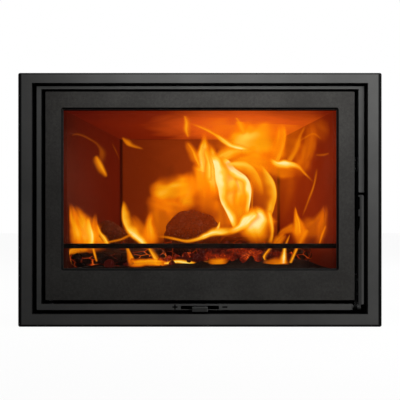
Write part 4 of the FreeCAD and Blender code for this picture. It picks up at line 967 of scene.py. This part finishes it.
# Flames: a ribbon is its depth, the lean of its crest, and points of pixel across, down, width and heat
VEILS = {
    "veil_left": [
        (0.062, 0.0, [(80, 249, 11, 0.5), (77, 236, 13, 0.66), (74, 223, 10, 0.62), (72, 211, 6, 0.46),
                      (70, 202, 3, 0.25)]),
        (0.084, 0.0, [(93, 254, 24, 0.5), (90, 239, 24, 0.7), (85, 227, 19, 0.68), (79, 216, 11, 0.54),
                      (74, 205, 5, 0.36)]),
        (0.082, 0.0, [(102, 250, 10, 0.62), (100, 240, 12, 0.68), (96, 231, 8, 0.62), (95, 222, 5, 0.5),
                      (96, 212, 3, 0.3)]),
    ],
    "veil_middle_left": [
        (0.150, 0.0, [(152, 248, 22, 0.36), (145, 235, 15, 0.42), (138, 224, 10, 0.4), (132, 214, 4, 0.3)]),
        (0.160, 0.0, [(151, 246, 16, 0.55), (151, 234, 14, 0.64), (150, 222, 9, 0.6), (151, 211, 4, 0.4)]),
        (0.200, 0.0, [(164, 244, 22, 0.3), (163, 228, 26, 0.42), (162, 212, 26, 0.44), (163, 198, 24, 0.5)]),
        (0.066, 0.0, [(127, 263, 5, 0.4), (136, 263, 7, 0.56), (148, 262, 7, 0.62), (160, 263, 5, 0.6),
                      (170, 264, 3, 0.36)]),
        (0.068, 0.0, [(133, 264, 6, 0.42), (130, 257, 5, 0.38), (128, 250, 3, 0.28)]),
        (0.067, 0.0, [(207, 261, 3, 0.36), (214, 262, 6, 0.54), (221, 262, 6, 0.62), (229, 259, 3, 0.36)]),
        (0.063, 0.0, [(262, 262, 4, 0.3), (269, 264, 8, 0.44), (279, 264, 11, 0.54), (290, 263, 6, 0.36)]),
    ],
    "veil_billow": [
        (0.180, 0.0, [(149, 194, 12, 0.62), (157, 192, 22, 0.66), (166, 191, 24, 0.68), (176, 190, 24, 0.66),
                      (188, 188, 22, 0.66), (202, 186, 18, 0.64)]),
        (0.185, 0.0, [(178, 212, 10, 0.45), (184, 202, 22, 0.58), (188, 191, 22, 0.66), (189, 181, 18, 0.6),
                      (189, 170, 8, 0.48)]),
        (0.190, 0.0, [(205, 218, 20, 0.34), (208, 200, 22, 0.48), (207, 184, 20, 0.66),
                      (205, 164, 18, 0.68)]),
        (0.170, 0.0, [(206, 214, 20, 0.15), (205, 200, 24, 0.28), (204, 186, 26, 0.52), (206, 172, 22, 0.58),
                      (209, 160, 12, 0.5)]),
        (0.182, 0.0, [(145, 199, 8, 0.4), (156, 203, 14, 0.5), (168, 206, 17, 0.52), (180, 208, 14, 0.44),
                      (190, 208, 8, 0.3)]),
    ],
    "veil_tall": [
        (0.135, 0.0, [(200, 168, 8, 0.4), (195, 157, 10, 0.5), (190, 148, 8, 0.45), (186, 140, 4, 0.3)]),
        (0.152, 0.0, [(215, 200, 14, 0.6), (214, 184, 17, 0.76), (213, 168, 17, 0.82), (210, 154, 12, 0.74),
                      (207, 142, 6, 0.5)]),
        (0.165, 0.0, [(209, 200, 16, 0.68), (207, 180, 18, 0.82), (205, 165, 17, 0.88), (203, 153, 13, 0.82),
                      (204, 143, 8, 0.72), (204, 131, 3, 0.5)]),
    ],
    "veil_heart": [
        (0.145, 0.0, [(238, 232, 16, 0.62), (238, 214, 24, 0.62), (236, 200, 28, 0.7), (233, 188, 28, 0.92),
                      (226, 176, 20, 1.04), (219, 158, 12, 0.95)]),
        (0.112, 0.0, [(262, 247, 18, 0.2), (259, 236, 24, 0.54), (256, 224, 28, 1.0), (256, 215, 23, 1.0),
                      (254, 205, 8, 0.76)]),
        (0.125, 0.0, [(232, 196, 20, 0.85), (228, 183, 20, 1.02), (224, 172, 17, 1.1), (219, 157, 11, 1.0)]),
        (0.200, 0.0, [(224, 230, 22, 0.4), (222, 212, 22, 0.38), (220, 198, 20, 0.44)]),
        (0.128, 0.0, [(240, 216, 12, 0.5), (242, 202, 15, 0.66), (242, 190, 16, 0.86), (238, 181, 14, 0.98),
                      (230, 173, 12, 1.0)]),
    ],
    "veil_crown": [
        (0.150, 0.0, [(220, 160, 14, 0.6), (233, 150, 26, 0.72), (245, 145, 34, 0.8), (258, 141, 36, 0.74),
                      (270, 140, 36, 0.64), (285, 141, 20, 0.5)]),
        (0.155, 0.0, [(246, 140, 18, 0.6), (242, 128, 14, 0.62), (238, 120, 7, 0.5), (234, 114, 3, 0.35)]),
        (0.160, 0.0, [(271, 167, 10, 0.62), (277, 152, 14, 0.62), (280, 141, 12, 0.6), (281, 131, 10, 0.56),
                      (279, 122, 6, 0.4)]),
        (0.210, 0.0, [(262, 174, 26, 0.42), (262, 158, 30, 0.46), (262, 146, 40, 0.5)]),
        (0.230, 0.0, [(258, 170, 80, 0.36), (260, 140, 100, 0.4), (260, 108, 90, 0.34)]),
        (0.118, 0.0, [(194, 136, 10, 0.16), (205, 130, 20, 0.22), (218, 126, 26, 0.3), (232, 122, 24, 0.34)]),
    ],
    "veil_right_arch": [
        (0.140, 0.0, [(261, 218, 16, 0.18), (262, 202, 20, 0.22), (261, 190, 22, 0.32), (255, 178, 22, 0.48),
                      (245, 169, 18, 0.58)]),
        (0.132, 0.0, [(226, 172, 14, 0.5), (238, 165, 22, 0.6), (252, 163, 24, 0.56), (266, 165, 20, 0.5),
                      (277, 170, 10, 0.4)]),
        (0.120, 0.0, [(264, 166, 8, 0.4), (276, 170, 14, 0.52), (286, 171, 14, 0.5), (297, 173, 8, 0.36)]),
        (0.090, 0.0, [(296, 180, 10, 0.26), (302, 164, 14, 0.36), (308, 148, 15, 0.38), (310, 132, 12, 0.3),
                      (306, 119, 6, 0.2)]),
        (0.150, 0.0, [(289, 158, 24, 0.28), (286, 178, 24, 0.26), (282, 206, 20, 0.16), (280, 228, 14, 0.1)]),
    ],
    "veil_right": [
        (0.078, 0.0, [(282, 128, 20, 0.08), (302, 128, 28, 0.14), (318, 132, 26, 0.24), (330, 138, 12, 0.2)]),
        (0.064, 0.0, [(318, 248, 9, 0.26), (321, 233, 10, 0.34), (324, 217, 8, 0.32), (326, 203, 4, 0.2)]),
        (0.105, 0.0, [(299, 250, 14, 0.16), (303, 237, 18, 0.26), (309, 229, 20, 0.38), (317, 222, 14, 0.38),
                      (323, 213, 8, 0.36), (326, 202, 3, 0.25)]),
        (0.110, 0.0, [(301, 249, 8, 0.3), (300, 234, 14, 0.5), (298, 224, 10, 0.6), (296, 216, 5, 0.55),
                      (295, 206, 2, 0.4)]),
        (0.115, 0.0, [(277, 236, 3, 0.35), (286, 230, 7, 0.5), (295, 226, 10, 0.58)]),
        (0.090, 0.0, [(274, 247, 7, 0.36), (279, 240, 9, 0.5), (286, 234, 6, 0.4)]),
    ],
}
TONGUES = {
    "flame_left": [
        (0.070, 0.5, [(88, 248, 14, 0.7), (89, 237, 13, 0.9), (88, 228, 10, 0.84), (87, 217, 5, 0.55)]),
        (0.071, 0.5, [(107, 248, 10, 0.72), (103, 240, 10, 0.8), (99, 233, 6, 0.66), (96, 224, 4, 0.46)]),
        (0.072, 0.0, [(102, 243, 3, 0.45), (114, 241, 4, 0.55), (122, 239, 4, 0.5), (134, 233, 3, 0.4)]),
        (0.070, 0.0, [(97, 262, 2, 0.4), (95, 255, 3, 0.55), (93, 247, 3, 0.55)]),
        (0.069, 0.0, [(64, 258, 3, 0.45), (70, 252, 6, 0.6), (77, 250, 8, 0.55), (89, 249, 6, 0.45)]),
    ],
    "flame_left_licks": [
        (0.085, 0.4, [(68, 138, 2, 0.14), (75, 134, 3, 0.18), (82, 135, 3, 0.18), (90, 139, 3, 0.18),
                      (98, 144, 5, 0.2), (103, 152, 8, 0.24), (103, 164, 10, 0.28)]),
        (0.110, -0.5, [(94, 156, 7, 0.42), (98, 164, 9, 0.54), (101, 170, 9, 0.56), (106, 178, 6, 0.42)]),
        (0.140, 0.4, [(122, 137, 2, 0.4), (128, 142, 7, 0.56), (133, 145, 6, 0.52), (144, 149, 2, 0.3)]),
        (0.120, 0.0, [(112, 143, 1, 0.14), (116, 151, 2, 0.18), (120, 160, 1, 0.14)]),
    ],
    "flame_middle_left": [
        (0.115, -0.6, [(151, 247, 9, 0.8), (141, 237, 12, 0.92), (133, 229, 14, 0.92), (128, 220, 12, 0.88),
                       (126, 211, 9, 0.8), (124, 200, 2, 0.55)]),
        (0.080, 0.4, [(149, 246, 6, 0.6), (154, 254, 7, 0.68), (158, 261, 7, 0.7), (164, 268, 6, 0.6)]),
        (0.078, -0.5, [(126, 246, 3, 0.55), (130, 256, 5, 0.7), (135, 267, 7, 0.7)]),
        (0.076, 0.3, [(154, 264, 4, 0.75), (167, 263, 4, 0.85), (177, 261, 5, 0.95), (186, 262, 5, 0.95),
                      (198, 264, 3, 0.65)]),
        (0.077, 0.0, [(203, 262, 3, 0.5), (210, 264, 6, 0.8), (216, 265, 7, 1.0), (224, 261, 5, 0.6)]),
    ],
    "flame_tall": [
        (0.130, 0.0, [(209, 182, 8, 0.7), (209, 168, 9, 0.82), (208, 160, 8, 0.78), (205, 147, 6, 0.6)]),
        (0.125, -0.3, [(201, 168, 5, 0.6), (196, 157, 5, 0.6), (193, 150, 4, 0.5), (187, 142, 2, 0.35)]),
    ],
    "flame_heart": [
        (0.100, -1.0, [(240, 233, 8, 0.8), (236, 219, 11, 0.98), (232, 208, 13, 1.04), (228, 198, 14, 1.06),
                       (226, 188, 14, 1.08), (224, 178, 16, 1.12), (222, 167, 14, 1.14), (217, 158, 10, 1.05),
                       (210, 150, 4, 0.7)]),
        (0.101, 1.0, [(243, 222, 6, 0.8), (245, 206, 8, 0.95), (246, 196, 9, 1.02), (246, 188, 9, 1.06),
                      (243, 181, 9, 1.08), (237, 177, 10, 1.1), (230, 173, 12, 1.12), (224, 166, 13, 1.12),
                      (218, 158, 8, 1.0)]),
        (0.090, 0.5, [(269, 244, 5, 0.5), (271, 232, 6, 0.8), (270, 221, 6, 0.9), (268, 210, 5, 0.7)]),
        (0.092, 0.0, [(228, 232, 6, 0.78), (240, 227, 12, 0.95), (247, 221, 16, 1.04), (258, 212, 12, 0.95)]),
        (0.088, 0.2, [(154, 236, 3, 0.4), (166, 237, 3, 0.48), (176, 239, 3, 0.6), (187, 241, 4, 0.62),
                      (197, 239, 5, 0.76), (206, 235, 7, 1.0), (213, 232, 10, 1.06), (222, 231, 10, 1.04),
                      (238, 229, 10, 1.0)]),
        (0.087, 0.0, [(215, 233, 6, 0.95), (218, 228, 5, 1.0), (220, 221, 1, 0.7)]),
    ],
    "flame_crown": [
        (0.100, 0.3, [(190, 123, 3, 0.4), (201, 127, 4, 0.5), (210, 131, 5, 0.6), (218, 136, 6, 0.72),
                      (225, 141, 7, 0.9), (232, 145, 8, 1.08), (241, 147, 8, 1.1), (253, 149, 4, 0.8)]),
        (0.095, -0.4, [(189, 138, 4, 0.42), (188, 130, 10, 0.58), (188, 122, 9, 0.56), (184, 113, 3, 0.36)]),
        (0.120, 0.0, [(213, 162, 8, 0.7), (228, 154, 14, 0.85), (243, 149, 12, 0.8)]),
        (0.110, 1.0, [(273, 165, 7, 0.56), (277, 150, 10, 0.52), (280, 139, 10, 0.5), (281, 124, 7, 0.4)]),
        (0.112, 0.0, [(245, 135, 6, 0.6), (240, 124, 5, 0.6), (234, 114, 2, 0.4)]),
    ],
    "flame_right_arch": [
        (0.098, -0.5, [(223, 167, 9, 0.7), (236, 166, 12, 0.76), (245, 168, 14, 0.76), (252, 174, 13, 0.72),
                       (257, 183, 11, 0.64), (262, 197, 6, 0.4)]),
        (0.096, -1.0, [(254, 163, 8, 0.5), (263, 177, 12, 0.66), (268, 187, 13, 0.74), (269, 196, 13, 0.76),
                       (268, 206, 11, 0.74), (266, 220, 7, 0.6)]),
        (0.097, 0.0, [(252, 215, 2, 0.4), (252, 200, 3, 0.5), (252, 190, 3, 0.5), (250, 180, 3, 0.45)]),
        (0.090, -0.2, [(268, 158, 5, 0.6), (276, 164, 8, 0.9), (284, 165, 10, 1.02), (291, 165, 8, 0.9),
                       (298, 167, 6, 0.7), (304, 173, 4, 0.52), (314, 183, 2, 0.35)]),
        (0.092, 0.3, [(286, 165, 5, 0.6), (293, 154, 7, 0.56), (297, 145, 7, 0.5), (300, 135, 5, 0.4),
                      (306, 125, 2, 0.25)]),
        (0.080, 0.0, [(297, 143, 2, 0.22), (306, 137, 3, 0.3), (314, 134, 3, 0.3), (322, 140, 2, 0.2)]),
        (0.075, 0.0, [(315, 155, 2, 0.25), (323, 155, 3, 0.32), (330, 153, 2, 0.25)]),
        (0.078, 0.0, [(317, 168, 2, 0.3), (314, 185, 3, 0.36), (309, 199, 3, 0.34), (302, 217, 2, 0.25)]),
    ],
    "flame_right": [
        (0.085, 0.3, [(299, 236, 7, 0.5), (298, 223, 6, 0.56), (296, 215, 4, 0.52), (295, 206, 1, 0.36)]),
        (0.080, 0.0, [(298, 249, 6, 0.42), (302, 238, 8, 0.4), (308, 229, 8, 0.42)]),
        (0.082, 0.0, [(284, 248, 3, 0.55), (287, 241, 3, 0.6), (290, 234, 1, 0.35)]),
        (0.072, 0.0, [(319, 245, 2, 0.4), (322, 235, 3, 0.5), (326, 225, 2, 0.4)]),
    ],
    "flame_low": [
        (0.074, 0.0, [(282, 274, 13, 0.95), (283, 262, 10, 1.02), (284, 254, 7, 1.02), (285, 244, 5, 0.9)]),
        (0.076, -0.4, [(274, 269, 4, 0.5), (266, 262, 5, 0.7), (265, 256, 5, 0.7), (272, 247, 4, 0.5)]),
        (0.075, 0.3, [(287, 269, 3, 0.55), (291, 260, 4, 0.72), (295, 251, 4, 0.72), (299, 243, 2, 0.5)]),
    ],
}
RIBBON_ACROSS = 8
STEPS_PER_SPAN = 7
RIBBON_ARCH = 0.3
LEAN_SHARE = 0.38
THINNEST_PX = 0.5
FLOW_LENGTH = 0.1
FLOW_SHIFT = 3.7
SWAY = 0.005
SWAY_SCALE = 12
SWAY_SHIFT = 2.3
VEIL_BREADTH = 1.75
VEIL_FADING = 0.3
TONGUE_BREADTH = 1.4
TONGUE_FADING = 0.16


def eased(points, span, share):
    """Point on the smooth line through a ribbon's points, a share of the way along one span."""
    before = points[max(span - 1, 0)]
    start, end = points[span], points[span + 1]
    after = points[min(span + 2, len(points) - 1)]
    found = []
    for a, b, c, d in zip(before, start, end, after):
        bend = (2 * a - 5 * b + 4 * c - d) * share ** 2 + (3 * b - a - 3 * c + d) * share ** 3
        found.append(b + 0.5 * ((c - a) * share + bend))
    return found


def smooth_line(points):
    """Evenly stepped points of the smooth line through a ribbon's points."""
    spans = len(points) - 1
    line = []
    for step in range(STEPS_PER_SPAN * spans + 1):
        span = min(step // STEPS_PER_SPAN, spans - 1)
        line.append(eased(points, span, (step - STEPS_PER_SPAN * span) / STEPS_PER_SPAN))
    return line


def make_flame(name, ribbons, finish, breadth, fading):
    """Curved ribbons of flame, each following its own line and fading towards its ends."""
    bm = bmesh.new()
    flow = bm.loops.layers.uv.new("flow")
    heat = bm.verts.layers.float.new("burn")
    for turn, (depth, lean, points) in enumerate(ribbons):
        crest = 2 * LEAN_SHARE * lean
        line = smooth_line(points)
        steps = len(line) - 1
        middle = [from_photo(px, py, depth) for px, py, _, _ in line]
        length = sum((b - a).length for a, b in zip(middle, middle[1:]))
        made = bmesh.ops.create_grid(bm, x_segments=RIBBON_ACROSS, y_segments=steps, size=1.0, calc_uvs=True)
        own = set(made["verts"])
        for face in bm.faces:
            if face.verts[0] in own:
                for loop in face.loops:
                    loop[flow].uv.y = loop[flow].uv.y * length / FLOW_LENGTH + FLOW_SHIFT * turn
        for vert in made["verts"]:
            i = round((vert.co.y + 1.0) / 2 * steps)
            _, _, width, burn = line[i]
            side = crest + vert.co.x * (1.0 + crest if vert.co.x < 0.0 else 1.0 - crest)
            along = (middle[min(i + 1, steps)] - middle[max(i - 1, 0)]).normalized()
            across = Vector((0.0, 1.0, 0.0)).cross(along).normalized()
            half = max(width, THINNEST_PX) * METRES_PER_PX / 2 * breadth
            drift = Vector((middle[i].x * SWAY_SCALE, turn * SWAY_SHIFT, middle[i].z * SWAY_SCALE))
            sway = SWAY * noise.noise(drift)
            bulge = Vector((0.0, sway - RIBBON_ARCH * half * (1.0 - side * side), 0.0))
            fade = min(1.0, i / (fading * steps), (steps - i) / (fading * steps))
            vert[heat] = burn * fade * (2.0 - fade)
            vert.co = held_inside(middle[i] + across * half * side + bulge)
    piece = new_piece(name, bm, finish)
    piece.visible_shadow = False


# What each part wears: the finish of its material slot, or its own
# Colours of the painted firelight on the slabs, from far from the fire's heart to near it
side_painted_firelight = [(0.0, (0.04, 0.003, 0.001, 1.0)), (0.3, (0.1, 0.006, 0.001, 1.0)),
             (0.6, (0.2, 0.013, 0.001, 1.0)), (1.0, (0.4, 0.04, 0.002, 1.0))]
back_painted_firelight = [(0.0, (0.07, 0.005, 0.001, 1.0)), (0.38, (0.16, 0.016, 0.001, 1.0)),
             (0.7, (0.32, 0.04, 0.003, 1.0)), (1.0, (0.5, 0.08, 0.006, 1.0))]
baffle_painted_firelight = [(0.0, (0.06, 0.003, 0.001, 1.0)), (0.19, (0.1, 0.005, 0.001, 1.0)),
               (0.45, (0.18, 0.011, 0.001, 1.0)), (0.66, (0.7, 0.085, 0.005, 1.0)),
               (1.0, (1.0, 0.2, 0.014, 1.0))]
# Painted shade in the slabs' corners: the axis, then where the painted firelight starts to fall and where it
# is lowest
side_corner_shade = ("Y", FIRE_BACK_Y - 0.016, FIRE_BACK_Y - 0.006)
back_corner_shade = ("X", LINER_FACE_BACK - 0.005, LINER_FACE_BACK - 0.001)
baffle_corner_shade = ("Y", FIRE_BACK_Y - 0.006, FIRE_BACK_Y)
finishes = {
    "surround_paint": surround_paint("satin_anthracite", painted_rim_shade),
    "lever_paint": lever_paint(),
    "gap_black": gap_black(),
    "door_iron": door_paint(),
    "pane_glass": pane_glass(),
    "seal_rope": woven_seal(),
    "black_sheet": black_sheet(),
    "liner_slab": liner_slab("side_liner", side_painted_firelight, side_corner_shade),
    "grate_iron": fire_iron("fire_iron", (0.03, 0.027, 0.025, 1.0), ash=0.35),
    "casing_sheet": galvanised_sheet(),
    "bright_steel": bare_metal("bright_steel", grey(0.42), (0.62, 0.62, 0.61, 1.0), roughness=0.32),
    "bush_bronze": bare_metal("bush_bronze", (0.34, 0.2, 0.08, 1.0), (0.55, 0.36, 0.16, 1.0), roughness=0.38),
    "screw_steel": bare_metal("screw_steel", grey(0.2), grey(0.36), roughness=0.42),
}
# Black oxide steel, made near black so the small parts seen in the gaps pass for painted shade
blackened_for_shade = bare_metal("blackened_steel", grey(0.004), grey(0.012), roughness=0.55)
own_finish = {
    "liner_back": liner_slab("back_liner", back_painted_firelight, back_corner_shade),
    "smoke_baffle": liner_slab("baffle_slab", baffle_painted_firelight, baffle_corner_shade, above=0.03),
    "flue_collar": fire_iron("collar_iron", (0.026, 0.026, 0.027, 1.0), ash=0.12),
    "log_retainer": fire_iron("sooted_iron", (0.004, 0.0015, 0.001, 1.0), ash=0.02),
    "front_frame": surround_paint("marked_anthracite", filled_marks_and_painted_shade),
    "air_slider": finishes["lever_paint"],
    "handle_bracket": blackened_for_shade,
    "hinge_pin_upper": blackened_for_shade,
    "hinge_pin_lower": blackened_for_shade,
    "thrust_washer": blackened_for_shade,
    "latch_nose": blackened_for_shade,
    "keeper_spring": blackened_for_shade,
}
for part in frame["record"]["subparts"]:
    dressed = frame["nodes"][part["node"]]
    dressed.data.materials.clear()
    dressed.data.materials.append(own_finish.get(part["node"], finishes[part["material_slot"]]))

# Pieces that the solids leave to the scene
make_rivets(finishes["bright_steel"])
make_rope(finishes["seal_rope"])
make_tape(finishes["seal_rope"])
make_ash(bed_ash())
make_coals(glowing_coal())
wood = charred_wood()
for count, (log_name, (start, end, radius)) in enumerate(LOGS.items()):
    make_log(log_name, start, end, radius, wood, count)
veil_edge = [(0.0, (1.0, 0.13, 0.0, 1.0)), (0.45, (1.0, 0.22, 0.001, 1.0)),
             (0.65, (1.0, 0.36, 0.003, 1.0))]
tongue_edge = [(0.0, (1.0, 0.19, 0.001, 1.0)), (0.45, (1.0, 0.27, 0.002, 1.0)),
               (0.65, (1.0, 0.4, 0.008, 1.0))]
veil = flame_sheet("flame_veil", softness=0.8, edge_stops=veil_edge)
for flame_name, ribbons in VEILS.items():
    make_flame(flame_name, ribbons, veil, VEIL_BREADTH, VEIL_FADING)
tongue = flame_sheet("flame_tongue", softness=1.0, edge_stops=tongue_edge)
for flame_name, ribbons in TONGUES.items():
    make_flame(flame_name, ribbons, tongue, TONGUE_BREADTH, TONGUE_FADING)


# Floor, world and lamps
FLOOR_REACH = 6.0
FLOOR_OWN_LIGHT = 0.96
FLOOR_DIMMING = (-0.3, 0.3)
WORLD_DIMMING = (-0.1, 0.3)
AMBIENT = 0.004
STUDIO_DIM = 0.02
OBJECT_MIDDLE = (0.0, 0.0, MIDDLE_Z)


def seen_directly(tree):
    """Camera rays, and the rays that metal and glass pass on."""
    rays = add(tree, "ShaderNodeLightPath").outputs
    passed = maths(tree, "MAXIMUM", rays["Is Glossy Ray"], rays["Is Transmission Ray"])
    return rays["Is Camera Ray"], passed


def floor_white():
    """Pale floor that shows white and keeps the object's shadow."""
    material, tree, shader = new_finish("floor")
    camera, passed = seen_directly(tree)
    set_shader(tree, shader, Base_Color=blended(tree, camera, grey(0.2), grey(0.9)), Roughness=0.9,
               Specular_IOR_Level=0.0)
    white = add(tree, "ShaderNodeEmission", {"Strength": 1.0})
    behind = spread(tree, part_of(tree, place(tree), "Y"), *FLOOR_DIMMING, STUDIO_DIM, 1.0)
    shown = maths(tree, "MAXIMUM", camera, times(tree, passed, behind))
    mix_shaders(tree, times(tree, shown, FLOOR_OWN_LIGHT), shader, white)
    return material


def make_floor(finish):
    """Wide flat floor under the object."""
    bm = bmesh.new()
    bmesh.ops.create_grid(bm, x_segments=1, y_segments=1, size=FLOOR_REACH)
    floor = made_of("floor", bm, finish)


def make_world():
    """White behind the object, a dim studio before it and a low even light."""
    world = bpy.data.worlds.new("studio")
    world.use_nodes = True
    tree = world.node_tree
    camera, passed = seen_directly(tree)
    way = add(tree, "ShaderNodeTexCoord").outputs["Generated"]
    behind = spread(tree, part_of(tree, way, "Y"), *WORLD_DIMMING, STUDIO_DIM, 1.0)
    passing = blended(tree, passed, grey(AMBIENT), behind)
    plug(tree, tree.nodes["Background"].inputs["Color"], blended(tree, camera, passing, grey(1.0)))
    bpy.context.scene.world = world


def make_lamp(name, spot, size, power, aim=OBJECT_MIDDLE):
    """Soft lamp of a width and a height, turned towards a point."""
    data = bpy.data.lights.new(name, "AREA")
    data.shape = "RECTANGLE"
    data.size, data.size_y = size
    data.energy = power
    lamp = put_in_scene(name, data)
    lamp.location = spot
    lamp.rotation_euler = (Vector(aim) - Vector(spot)).to_track_quat("-Z", "Y").to_euler()
    lamp.visible_camera = False


make_floor(floor_white())
make_world()
make_lamp("key_lamp", spot=(1.0, -0.54, 0.77), size=(0.5, 0.35), power=10.3, aim=(0.14, FRONT_Y, 0.41))
make_lamp("top_lamp", spot=(0.04, -0.46, 0.76), size=(0.5, 0.3), power=2.3, aim=(0.12, FRONT_Y, 0.44))
make_lamp("side_lamp", spot=(-1.6, 0.5, 1.4), size=(0.8, 0.8), power=22.0)
make_lamp("rear_lamp", spot=(0.9, 1.8, 1.5), size=(0.8, 0.8), power=26.0)
place_camera()
bpy.context.scene.view_settings.view_transform = "Standard"
